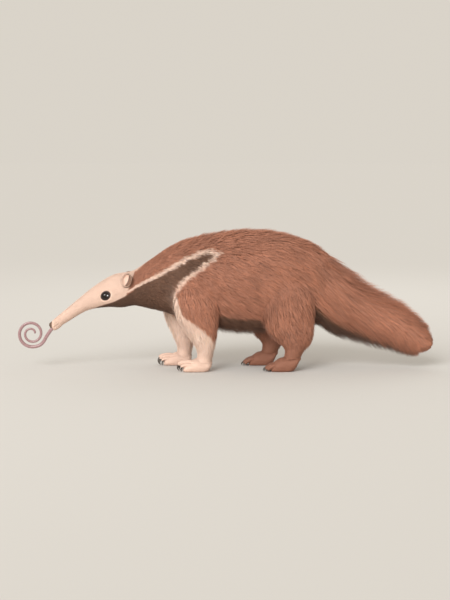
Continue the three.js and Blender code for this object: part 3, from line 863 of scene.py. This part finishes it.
def combed(root, face, steps):
    # tufts that follow the skin along the lie and rise through the coat to its outline
    count = len(root)
    hair = faceFields[face, 4] * rng.uniform(*tuftShape["length"], count)
    layer = rng.uniform(*tuftShape["layer"], count) ** 0.7
    turn = np.radians(rng.normal(0, tuftShape["lay"], count))
    normal = smoothNormals(face, root)
    under = 1 + tuftShape["hang"] * np.maximum(-normal[:, 2], 0) * step(hair, 12, 40)
    stand = 1 + tuftShape["stand"] * step(hair, 12, 20) * (1 - step(hair, 40, 60))
    rise = np.maximum(faceFields[face, 3], tuftShape["least"] * hair) * layer * under * stand
    point, places, normals, faces = root, [root - normal * tuftShape["sink"]], [normal], [face]
    for k in range(1, steps + 1):
        lie = faceFields[face, :3]
        lie = turned(unit(lie - normal * (lie * normal).sum(1)[:, None]), normal, turn)
        point = point + lie * (hair / steps)[:, None]
        face = nearestFaces(point)
        flat = faceNormals[face]
        point = point - flat * ((point - corners[face, 0]) * flat).sum(1)[:, None]
        normal = smoothNormals(face, point)
        s = k / steps
        places.append(point + normal * (rise * (0.12 + 0.88 * s ** 0.85))[:, None])
        normals.append(normal)
        faces.append(face)
    return np.stack(places, 1), np.stack(normals, 1), np.stack(faces, 1), hair


def strandFaces(steps):
    # one strand's faces: three vertices at each step and one at its tip
    quads, tris = [], [(2, 1, 0)]
    for k in range(steps - 1):
        for i in range(3):
            j = (i + 1) % 3
            quads.append((3 * k + i, 3 * k + j, 3 * k + 3 + j, 3 * k + 3 + i))
    for i in range(3):
        tris.append((3 * steps - 3 + i, 3 * steps - 3 + (i + 1) % 3, 3 * steps))
    return quads, tris


def tuftMesh(name, places, normals, width, tint, uv, hair):
    # three-sided tapered strands in one mesh, with a left edge, a ridge and a right edge at each step
    count, stations = places.shape[:2]
    steps = stations - 1
    ahead = np.empty_like(places)
    ahead[:, 1:-1] = places[:, 2:] - places[:, :-2]
    ahead[:, 0], ahead[:, -1] = places[:, 1] - places[:, 0], places[:, -1] - places[:, -2]
    ahead = unit(ahead)
    across = unit(np.cross(ahead, normals))
    up = np.cross(across, ahead)
    s = np.linspace(0, 1, stations)[:-1]
    taper = (0.65 + 0.35 * np.sin(np.pi * np.minimum(s * 1.6, 1))) * (1 - s ** 2.5)
    broad = (width[:, None] * taper)[..., None] / 2
    base = places[:, :-1]
    rings = np.stack([
        base - across[:, :-1] * broad,
        base + up[:, :-1] * broad * 2 * tuftShape["thick"],
        base + across[:, :-1] * broad,
    ], 2).reshape(count, steps * 3, 3)
    vertices = np.concatenate([rings, places[:, -1:]], 1)
    vertices[..., 2] = np.maximum(vertices[..., 2], 0.4 - shift[2] / mm)  # clear of the floor
    perTuft = steps * 3 + 1
    quads, tris = strandFaces(steps)
    offsets = (np.arange(count) * perTuft)[:, None]
    loopVertex = (np.concatenate([np.array(quads).ravel(), np.array(tris).ravel()])[None] + offsets).ravel()
    sizes = np.tile(np.array([4] * len(quads) + [3] * len(tris)), count)
    mesh = bpy.data.meshes.new(name)
    mesh.vertices.add(count * perTuft)
    place(mesh, vertices.reshape(-1, 3))
    mesh.loops.add(len(loopVertex))
    mesh.loops.foreach_set("vertex_index", loopVertex.astype(np.int32))
    mesh.polygons.add(len(sizes))
    mesh.polygons.foreach_set("loop_start", np.concatenate([[0], np.cumsum(sizes)[:-1]]).astype(np.int32))
    mesh.polygons.foreach_set("use_smooth", np.ones(len(sizes), bool))
    mesh.update(calc_edges=True)
    over = unit(up * (1 - tuftShape["soft"]) + normals * tuftShape["soft"])[:, :, None]
    lean = np.interp(hair, *tuftShape["lean"])[:, None, None, None] * across[:, :, None]
    shades = unit(over + lean * np.array((-1.0, 0.0, 1.0))[:, None])
    shades = np.concatenate([shades[:, :-1].reshape(count, steps * 3, 3), over[:, -1]], 1)
    mesh.normals_split_custom_set_from_vertices(shades.reshape(-1, 3).tolist())
    paint(mesh, np.concatenate([np.repeat(tint[:, :-1], 3, 1), tint[:, -1:]], 1).reshape(-1, 3))
    along = np.append(np.repeat(s, 3), 1.0) - 0.5
    beside = np.append(np.tile([-0.5, 0.0, 0.5], steps), 0.0)
    patch = np.stack([beside, along], -1) * tuftShape["patch"]
    spots = (np.clip(uv, 0.002, 0.998)[:, None] + patch[None]).reshape(-1, 2)
    layer = mesh.uv_layers.new(name="OFBake")
    layer.data.foreach_set("uv", spots[loopVertex].astype(np.float32).ravel())
    return newObject(name, mesh)


tuftTint = {
    "vary": 0.05, "varyLong": 0.07,  # from tuft to tuft, and more so where the hair is long
    "warm": 0.035,  # towards red or blue
    "overBody": 0.12, "grain": 0.014,  # slow changes over the body, and how close they are
    "along": (0, 0.4, 0.8, 1), "fade": (0.8, 0.92, 1.0, 1.06),  # painted shade: darker at the root, a little lighter at the tip
    "pale": (0.25, 0.55), "even": 0.65,  # pale hair varies this much less
}


def tintOf(x, z, fore, hind, ear, hair, root, clump):
    # the coat's colours along each tuft, with painted shade darker at the root, varied from tuft to tuft and
    # over the body
    tint = markingsAndPaintedLight(x, z, fore, hind, ear, 4.0)
    count, stations = x.shape
    rough = step(hair, 6, 30)  # short hair is even, long hair varied
    broad = np.array([noise.noise(Vector(p) * tuftTint["grain"]) for p in root.tolist()])
    vary = 1 + rng.normal(0, tuftTint["vary"], count)
    vary = vary + rough * (rng.normal(0, tuftTint["varyLong"], count) + tuftTint["overBody"] * broad + clump)
    fade = np.interp(np.linspace(0, 1, stations), tuftTint["along"], tuftTint["fade"])[None, :]
    pale = step(tint[..., 1], *tuftTint["pale"])
    fade = 1 + (fade - 1) * (0.25 + 0.75 * rough[:, None])
    shade = 1 + (fade * np.clip(vary, 0.5, 1.5)[:, None] - 1) * (1 - tuftTint["even"] * pale)
    warm = (rng.normal(0, tuftTint["warm"], count) * rough)[:, None, None] * np.array((1, 0, -1))
    gain = 1 + tuftShape["lift"] * step(hair, 5, 32)[:, None] * np.ones_like(fade)
    gain = np.minimum(gain, tuftShape["brightest"] / tint.max(-1))  # pale hair stays pale, not white
    tint = tint * (gain * shade)[..., None] * (1 + warm)
    return np.clip(tint, 0.004, 0.97)


def clumped(places, size):
    # neighbouring tufts lean together into locks; gives the moved places and each tuft's lock as a tone
    count, stations = places.shape[:2]
    if not size:
        return places, np.zeros(count)
    seeds = rng.choice(count, max(int(count / size), 1), replace=False)
    tree = kdtree.KDTree(len(seeds))
    for i, p in zip(seeds.tolist(), places[seeds, 0].tolist()):
        tree.insert(p, i)
    tree.balance()
    leader = np.array([tree.find(p)[1] for p in places[:, 0].tolist()])
    pull = tuftShape["clump"] * rng.uniform(0.5, 1, count)
    s = np.linspace(0, 1, stations) ** 1.3
    tone = rng.normal(0, 0.07, count)[leader]
    return places + (places[leader] - places) * pull[:, None, None] * s[None, :, None], tone


coatPieces = []


def coatPiece(name, slot, inZone, coverage, steps, most, lockSize, broad):
    root, face, uv = spreadRoots(inZone, coverage, most)
    places, normals, faces, hair = combed(root, face, steps)
    places, clump = clumped(places, lockSize)
    tint = tintOf(*(faceFields[faces, k] for k in (5, 6, 7, 8, 9)), hair, root, clump)
    width = broad * np.interp(hair, *tuftShape["width"]) * rng.uniform(0.75, 1.25, len(hair))
    obj = tuftMesh(name, places, normals, width, tint, uv, hair)
    coatPieces.append((obj, slot))
    print(name, len(root), "tufts")


faceZone = zone[triangles[:, 0]]
centres = corners.mean(1)
leftHalf = centres[:, 1] < 0
isHead, isNeck, isTorso = (faceZone == zones[name] for name in ("head", "neck", "torso"))
isFore, isHind, isFoot, isEar = (faceZone == zones[name] for name in ("foreleg", "hindleg", "foot", "ear"))
bare = step(-centres[:, 0], 768, 780)  # the nose
for sign, _ in sides.values():
    away, outside, local = acrossEye(centres, sign)
    edge = 1.25 + 0.35 * np.clip(-local[:, 0] / 25, 0, 1)  # hair ahead of the eye lies back towards it
    bare = np.maximum(bare, outside * (1 - step(away, edge, edge + 0.12)))
inCup = np.zeros(len(centres))
for side, (sign, _) in sides.items():
    local, away = inEar(centres, sign, side)
    cup = (away < 0.9) & (np.abs(local[:, 0]) < earShape["deep"])
    inCup = np.maximum(inCup, cup & (faceNormals @ np.array(earTurn(side))[:, 0] < 0))
bare = np.maximum(bare, 0.9 * inCup)
coatShape = {  # how often tufts cover the skin, steps along them, most tufts, tufts in a lock, their width
    "head": (5, 2, 15000, 0, 1),
    "neck": (9, 3, 6980, 10, 1),
    "shoulder": (10, 4, 7000, 14, 1),
    "rump": (11, 3, 9000, 16, 1),
    "foreleg": (8, 3, 4600, 0, 1.35),
    "hindleg": (8, 3, 5500, 10, 1),
    "feet": (5, 2, 10000, 0, 1),
}
coatPiece("coat_head", "cream_coat", (isHead | isEar) * (1 - bare), *coatShape["head"])
isAhead = centres[:, 0] < 80 + rng.uniform(-45, 45, len(centres))  # the back's pieces meet without a line
for side, half in (("left", leftHalf), ("right", ~leftHalf)):
    for part, slot, where in (
            ("neck", "dark_coat", isNeck), ("shoulder", "brown_coat", isTorso & isAhead),
            ("rump", "brown_coat", isTorso & ~isAhead), ("foreleg", "cream_coat", isFore),
            ("hindleg", "brown_coat", isHind)):
        coatPiece(f"coat_{part}_{side}", slot, where & half, *coatShape[part])
coatPiece("coat_feet", "cream_coat", isFoot, *coatShape["feet"])


tailCoat = {
    "from": 12.1, "to": 17.5, "tufts": 8000, "steps": 3, "lock": 16,
    "merge": 13.2,  # the rib up to which the first tufts are scattered, so no line shows
    "reach": (0.9, 1.9),  # in ribs
    "drop": 14,  # degrees that the tips sink round the tail
    # tone: the tail's hair is painted this much lighter, to make up for the shade it lies in
    "width": 5.5, "hair": 100, "tone": 1.2,
    "end": (17.5, 17.84),  # each hair stops short of a rib between these
    "round": (17.1, 17.85),  # the ribs between which the tail's end is rounded
    "inside": 0.32,  # how deep the tips lie at most, as a share of the tail's thickness
    "fill": 16.6,  # the rib from which they lie at any depth, to fill the tail's end
    "grow": 13,  # how far the tips stand past the coat's outline
    "past": (24, 0, -8),  # and past the last rib
    "facing": (0.88, 0, -0.48),  # where the tail's end points
    "spread": (0.7548776662, 0.5698402910),  # steps of an even scatter, along and round
}


def tailPiece(name, start, lower):
    # hair of the tail: it leaves the skin, falls back along the tail and ends on its outline
    count, steps = tailCoat["tufts"], tailCoat["steps"]
    i = np.arange(count)
    down, turnShare = ((i * pace + start) % 1 for pace in tailCoat["spread"])
    along = tailCoat["from"] + (tailCoat["to"] - tailCoat["from"]) * down
    along += rng.uniform(0, 1, count) * (1 - step(along, tailCoat["from"], tailCoat["merge"]))
    angle = math.pi * turnShare * (-1 if lower else 1)
    drop = np.radians(tailCoat["drop"]) * np.cos(angle) * rng.uniform(0.3, 1.4, count)
    layer = rng.uniform(0, 1, count) ** 2 * tailCoat["inside"]
    layer = np.where(along > tailCoat["fill"], rng.uniform(0, 1, count), layer)
    s = np.linspace(0, 1, steps + 1)[None]
    room = np.maximum(rng.uniform(*tailCoat["end"], count) - along, 0.05)[:, None]
    reach = rng.uniform(*tailCoat["reach"], count)
    end = along[:, None] + room * (1 - np.exp(-reach[:, None] * s / room))
    around = angle[:, None] - drop[:, None] * s ** 2 + np.radians(rng.normal(0, 4, count))[:, None] * s
    first, last = tailCoat["round"]
    rounding = np.clip((end - first) / (last - first), 0, 1)
    depth = (skinDepth(along[:, None]) + 0.02) * (1 - s ** 0.9) + layer[:, None] * s
    closing = np.sqrt(1 - 0.995 * rounding ** 2)
    depth = 1 - (1 - depth) * closing
    places = onBody(end, around, depth, tailCoat["grow"] * s * closing)
    places = places + np.array(tailCoat["past"]) * step(end, 16.5, 18)[..., None]
    out = unit(onBody(end, around, np.maximum(depth - 0.1, 0)) - onBody(end, around, depth + 0.1))
    facing = (rounding ** 2)[..., None]
    out = unit(out * (1 - facing) + np.array(tailCoat["facing"]) * facing)
    side = onBody(end, around)
    places, clump = clumped(places, tailCoat["lock"])
    none = np.zeros_like(end)
    hair = np.full(count, float(tailCoat["hair"]))
    tint = tintOf(side[..., 0], side[..., 2], none, none, none, hair, places[:, 0], clump)
    # painted light: the tail's hair is made lighter against the shade it lies in
    tint = tint * (1 + (tailCoat["tone"] - 1) * step(along, 12.4, 15))[:, None, None]
    face = nearestFaces(places[:, 0])
    uv = uvMap[loops[face]].mean(1)
    width = tailCoat["width"] * rng.uniform(0.6, 1.3, count)
    obj = tuftMesh(name, places, out, width, tint, uv, hair)
    coatPieces.append((obj, "brown_coat"))
    print(name, count, "tufts")


tailPiece("coat_tail_top", 0.13, False)
tailPiece("coat_tail_under", 0.41, True)


# Materials
def newMaterial(name):
    material = bpy.data.materials.new(name)
    material.use_nodes = True
    nodes = material.node_tree.nodes
    return material, nodes, material.node_tree.links, nodes["Principled BSDF"]


def grainNode(nodes, links, scale, detail, stretch=(1, 1, 1)):
    where, turn, grain = (
        nodes.new(f"ShaderNode{kind}") for kind in ("TexCoord", "Mapping", "TexNoise"))
    turn.inputs["Scale"].default_value = stretch
    grain.inputs["Scale"].default_value = scale
    grain.inputs["Detail"].default_value = detail
    links.new(where.outputs["Object"], turn.inputs["Vector"])
    links.new(turn.outputs["Vector"], grain.inputs["Vector"])
    return grain


def roughened(nodes, links, shader, grain, strength, height):
    bump = nodes.new("ShaderNodeBump")
    bump.inputs["Strength"].default_value = strength
    bump.inputs["Distance"].default_value = height
    links.new(grain.outputs["Fac"], bump.inputs["Height"])
    links.new(bump.outputs["Normal"], shader.inputs["Normal"])


def painted(nodes):  # the colour that is painted on the mesh
    colour = nodes.new("ShaderNodeAttribute")
    colour.attribute_name = "coat"
    return colour.outputs["Color"]


furFinish = {
    "grain": 320, "darkest": 0.84, "lightest": 1.14, "roughness": 0.62, "specular": 0.3, "sheen": 0.15,
    "sheenRoughness": 0.4,
}
hideFinish = {"grain": 420, "bump": 0.5, "height": mm, "roughness": 0.7}


def furMaterial():
    material, nodes, links, shader = newMaterial("fur")
    grain = grainNode(nodes, links, furFinish["grain"], 2)
    spread = nodes.new("ShaderNodeMapRange")
    spread.inputs["To Min"].default_value = furFinish["darkest"]
    spread.inputs["To Max"].default_value = furFinish["lightest"]
    links.new(grain.outputs["Fac"], spread.inputs["Value"])
    tone = nodes.new("ShaderNodeVectorMath")
    tone.operation = "SCALE"
    links.new(painted(nodes), tone.inputs[0])
    links.new(spread.outputs["Result"], tone.inputs["Scale"])
    links.new(tone.outputs["Vector"], shader.inputs["Base Color"])
    shader.inputs["Roughness"].default_value = furFinish["roughness"]
    shader.inputs["Specular IOR Level"].default_value = furFinish["specular"]
    shader.inputs["Sheen Weight"].default_value = furFinish["sheen"]
    shader.inputs["Sheen Roughness"].default_value = furFinish["sheenRoughness"]
    return material


def hideMaterial():
    material, nodes, links, shader = newMaterial("hide")
    grain = grainNode(nodes, links, hideFinish["grain"], 4)
    roughened(nodes, links, shader, grain, hideFinish["bump"], hideFinish["height"])
    links.new(painted(nodes), shader.inputs["Base Color"])
    shader.inputs["Roughness"].default_value = hideFinish["roughness"]
    return material


fur = furMaterial()
for obj, slot in coatPieces:
    obj.data.materials.append(fur)
    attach(obj, "root")
skin.data.materials.append(hideMaterial())
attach(skin, "root")
flesh = ["head", "neck", "torso", "tail"] + [
    f"{part}_{side}" for part in ("ear", "foreleg", "hindleg", "forefoot", "hindfoot") for side in sides]
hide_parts(*flesh)


def smoothMesh(bm, name):
    for f in bm.faces:
        f.smooth = True
    return meshFrom(bm, name)


# Claws: curved horn, one mesh for each foot
hornShape = {"taper": 0.62, "under": 0.72, "lean": (-1, 0, 0.4)}  # flatter underneath


def horn(side, foot, toe):
    points = footPoints(side, foot["track"], toe["claw"])
    high, wide = toe["clawSize"]

    def shape(t, angle, rim):
        along = np.minimum(t * 1.02, 0.999)
        ahead = unit(bezier(points, along + 0.01) - bezier(points, along - 0.01))
        across = unit(np.cross(ahead, np.array(hornShape["lean"])))
        up = np.cross(across, ahead)
        taper = (1 - along) ** hornShape["taper"] * rim
        low = np.where(np.sin(angle) < 0, hornShape["under"], 1.0)
        return (bezier(points, along) + across * (wide * taper * np.cos(angle))[:, None]
                + up * (high * taper * low * np.sin(angle))[:, None])

    return bentTube(16, 18, shape)


def claws(kind, side):
    foot = feet[kind]
    bm = bmesh.new()
    for toe in foot["toes"]:
        part = horn(side, foot, toe)
        bm.from_mesh(part)
        bpy.data.meshes.remove(part)
    for v in bm.verts:
        v.co.z = max(v.co.z, 0.3 * mm)
    bmesh.ops.recalc_face_normals(bm, faces=bm.faces)
    name = f"claws_{kind}_{side}"
    obj = newObject(name, smoothMesh(bm, name))
    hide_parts(*(f"{kind}_claw_{side}_{i + 1}" for i in range(len(foot["toes"]))))
    return obj


# The tongue: down out of the mouth and round its coil
tongue = {
    "thick": 17, "coil": (-872, 156), "radius": 60, "turns": 1.72, "flat": 0.9, "inner": 15,
    "taper": 0.4, "tip": 0.985,  # how much it thins, and where its rounded tip begins
    "groove": 0.12,  # along its upper side, both how deep and how wide
}


def tongueLine():
    points = [(-748, 201), (-777, 181), (-803, 146), (-818, 120), (-839, 102)]
    x, z = tongue["coil"]
    total = round(12 * tongue["turns"])
    for i in range(total + 1):
        turn = i / 12 * 2 * math.pi
        radius = tongue["radius"] - (tongue["radius"] - tongue["inner"]) * (i / total) ** 1.15
        points.append((x - radius * math.sin(turn), z - radius * math.cos(turn)))
    return np.array([(px, 0, pz) for px, pz in points], float)


def tonguePiece():
    line = curveAt(tongueLine(), np.linspace(0, 1, 600))
    length = np.append(0, np.cumsum(np.linalg.norm(np.diff(line, axis=0), axis=1)))
    length /= length[-1]

    def at(u):
        return np.stack([np.interp(u, length, line[:, k]) for k in range(3)], -1)

    def shape(t, angle, rim):
        ahead = unit(at(np.clip(t + 0.004, 0, 1)) - at(np.clip(t - 0.004, 0, 1)))
        up = np.cross(ahead, (0.0, 1.0, 0.0))
        tip = np.sqrt(1 - np.clip((t - tongue["tip"]) / (1 - tongue["tip"]), 0, 1) ** 2 * 0.97)
        half = tongue["thick"] / 2 * (1 - tongue["taper"] * t ** 1.4) * tip * rim
        groove = 1 - tongue["groove"] * np.exp(-((np.sin(angle) - 1) / tongue["groove"]) ** 2)
        return (at(t) + up * (half * groove * np.sin(angle))[:, None]
                + np.array((0, 1, 0)) * (half * tongue["flat"] * np.cos(angle))[:, None])

    tube = bentTube(24, 260, shape)
    bm = bmesh.new()
    bm.from_mesh(tube)
    bpy.data.meshes.remove(tube)
    bmesh.ops.recalc_face_normals(bm, faces=bm.faces)
    obj = newObject("tongue", smoothMesh(bm, "tongue"))
    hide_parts("tongue_root", "tongue_middle", "tongue_curl")
    return obj


# Eyes: a ball with a slightly proud cornea
def eye(side):
    sign = sides[side][0]
    bm = bmesh.new()
    bmesh.ops.create_icosphere(bm, subdivisions=4, radius=eyeRadius - 0.3)
    for v in bm.verts:
        out = max(v.co.y * sign / eyeRadius, 0)
        v.co.y += sign * 0.9 * out ** 6
    bmesh.ops.translate(bm, vec=mirrored(eyeCentre, sign), verts=bm.verts)
    mesh = smoothMesh(bm, f"eyeball_{side}")
    obj = newObject(mesh.name, place(mesh, coordinates(mesh)))
    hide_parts(f"eye_{side}")
    return obj


finishes = {  # two tones, the grain's closeness and stretch, and the height of the bumps in metres
    "eye": {
        "tones": ((0.003, 0.002, 0.002), (0.012, 0.007, 0.005)), "grain": 90, "stretch": (1, 1, 1),
        "height": 0.00001, "roughness": 0.3, "specular": 0, "coat": 1.0},
    "claw": {
        "tones": ((0.03, 0.024, 0.02), (0.11, 0.085, 0.065)), "grain": 260, "stretch": (1, 1, 0.2),
        "height": 0.0003, "roughness": 0.38, "specular": 0.5, "coat": 0},
    "tongue": {
        "tones": (linear(146, 112, 114), linear(182, 145, 146)), "grain": 240, "stretch": (1, 1, 1),
        "height": 0.0003, "roughness": 0.3, "specular": 0.5, "coat": 0.5},
}


def noisyMaterial(name):  # two tones mixed by a noise
    finish = finishes[name]
    material, nodes, links, shader = newMaterial(name)
    grain = grainNode(nodes, links, finish["grain"], 4, finish["stretch"])
    ramp = nodes.new("ShaderNodeValToRGB")
    for stop, at, tone in zip(ramp.color_ramp.elements, (0.3, 0.7), finish["tones"]):
        stop.position, stop.color = at, (*tone, 1)
    links.new(grain.outputs["Fac"], ramp.inputs["Fac"])
    links.new(ramp.outputs["Color"], shader.inputs["Base Color"])
    roughened(nodes, links, shader, grain, 1, finish["height"])
    shader.inputs["Roughness"].default_value = finish["roughness"]
    shader.inputs["Specular IOR Level"].default_value = finish["specular"]
    shader.inputs["Coat Weight"].default_value = finish["coat"]
    shader.inputs["Coat Roughness"].default_value = 0.04
    shader.inputs["Coat IOR"].default_value = 1.36
    return material


glossyEye, hornClaw, wetTongue = (noisyMaterial(name) for name in ("eye", "claw", "tongue"))
others = [(tonguePiece(), wetTongue)]
others += [(eye(side), glossyEye) for side in sides]
others += [(claws(kind, side), hornClaw) for kind in feet for side in sides]
for obj, material in others:
    obj.data.materials.clear()
    obj.data.materials.append(material)
    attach(obj, "root")
print("eyes, claws and tongue done")


# Studio
def lamp(name, place, target, size, power):
    data = bpy.data.lights.new(name, "AREA")
    data.shape, data.size, data.energy = "DISK", size, power
    obj = bpy.data.objects.new(name, data)
    scene.collection.objects.link(obj)
    obj.location = place
    obj.rotation_euler = (Vector(target) - Vector(place)).to_track_quat("-Z", "Y").to_euler()
    return obj


def catchLight(toEye, size, power):  # a reflection in the near eye that lights nothing else
    middle = Vector((eyeCentre[0], -eyeCentre[1], eyeCentre[2])) * mm + Vector(shift)
    obj = lamp("catch light", middle + Vector(toEye), middle, size, power)
    obj.visible_camera = False
    obj.light_linking.receiver_collection = eyesOnly


studio = {
    "floor": (0.70, 0.685, 0.66),
    "far": (0.70, 0.655, 0.585),  # the surroundings, as bright as the lit floor
    "sun": 2.0, "sunWidth": 32,  # a broad, soft light
    "sunFrom": (-0.45, -1.0, 0.6),
    "window": ((-3.4, -2.2, 2.4), (-0.4, 0, 0.3), 1.2, 14),  # place, target, size and power
    "rim": ((0.6, 3.4, 3.0), (0, 0, 0.4), 2.4, 14),
    "catchLights": (((0.62, -0.5, 0.0), 0.46, 20), ((-0.5, -0.55, 0.3), 0.22, 5)),  # places from the eye
}
sun = bpy.data.objects.new("sun", bpy.data.lights.new("sun", "SUN"))
scene.collection.objects.link(sun)
sun.data.energy, sun.data.angle = studio["sun"], math.radians(studio["sunWidth"])
sun.rotation_euler = Vector(studio["sunFrom"]).to_track_quat("Z", "Y").to_euler()
for name in ("window", "rim"):
    lamp(name, *studio[name])
eyesOnly = bpy.data.collections.new("eyes")
for obj, material in others:
    if material == glossyEye:
        eyesOnly.objects.link(obj)
for toEye, size, power in studio["catchLights"]:
    catchLight(toEye, size, power)

bm = bmesh.new()
bmesh.ops.create_circle(bm, cap_ends=True, segments=96, radius=60)
floor = newObject("floor", meshFrom(bm, "floor"))
material, _, _, shader = newMaterial("floor")
shader.inputs["Base Color"].default_value = (*studio["floor"], 1)
shader.inputs["Roughness"].default_value = 1
shader.inputs["Specular IOR Level"].default_value = 0
floor.data.materials.append(material)

world = bpy.data.worlds.new("studio")
world.use_nodes = True
world.node_tree.nodes["Background"].inputs["Color"].default_value = (*studio["far"], 1)
world.node_tree.nodes["Background"].inputs["Strength"].default_value = 1
scene.world = world
scene.view_settings.view_transform = "Standard"

# Camera
view = {"distance": 6.375, "elevation": 6.4, "aim": (0, 0, 0.309), "lens": 85}
camera = bpy.data.objects.new("camera", bpy.data.cameras.new("camera"))
scene.collection.objects.link(camera)
camera.data.lens = view["lens"]
camera.data.sensor_width = 36
angle = math.radians(view["elevation"])
camera.location = Vector(view["aim"]) + Vector((0, -math.cos(angle), math.sin(angle))) * view["distance"]
camera.rotation_euler = (math.pi / 2 - angle, 0, 0)
scene.camera = camera
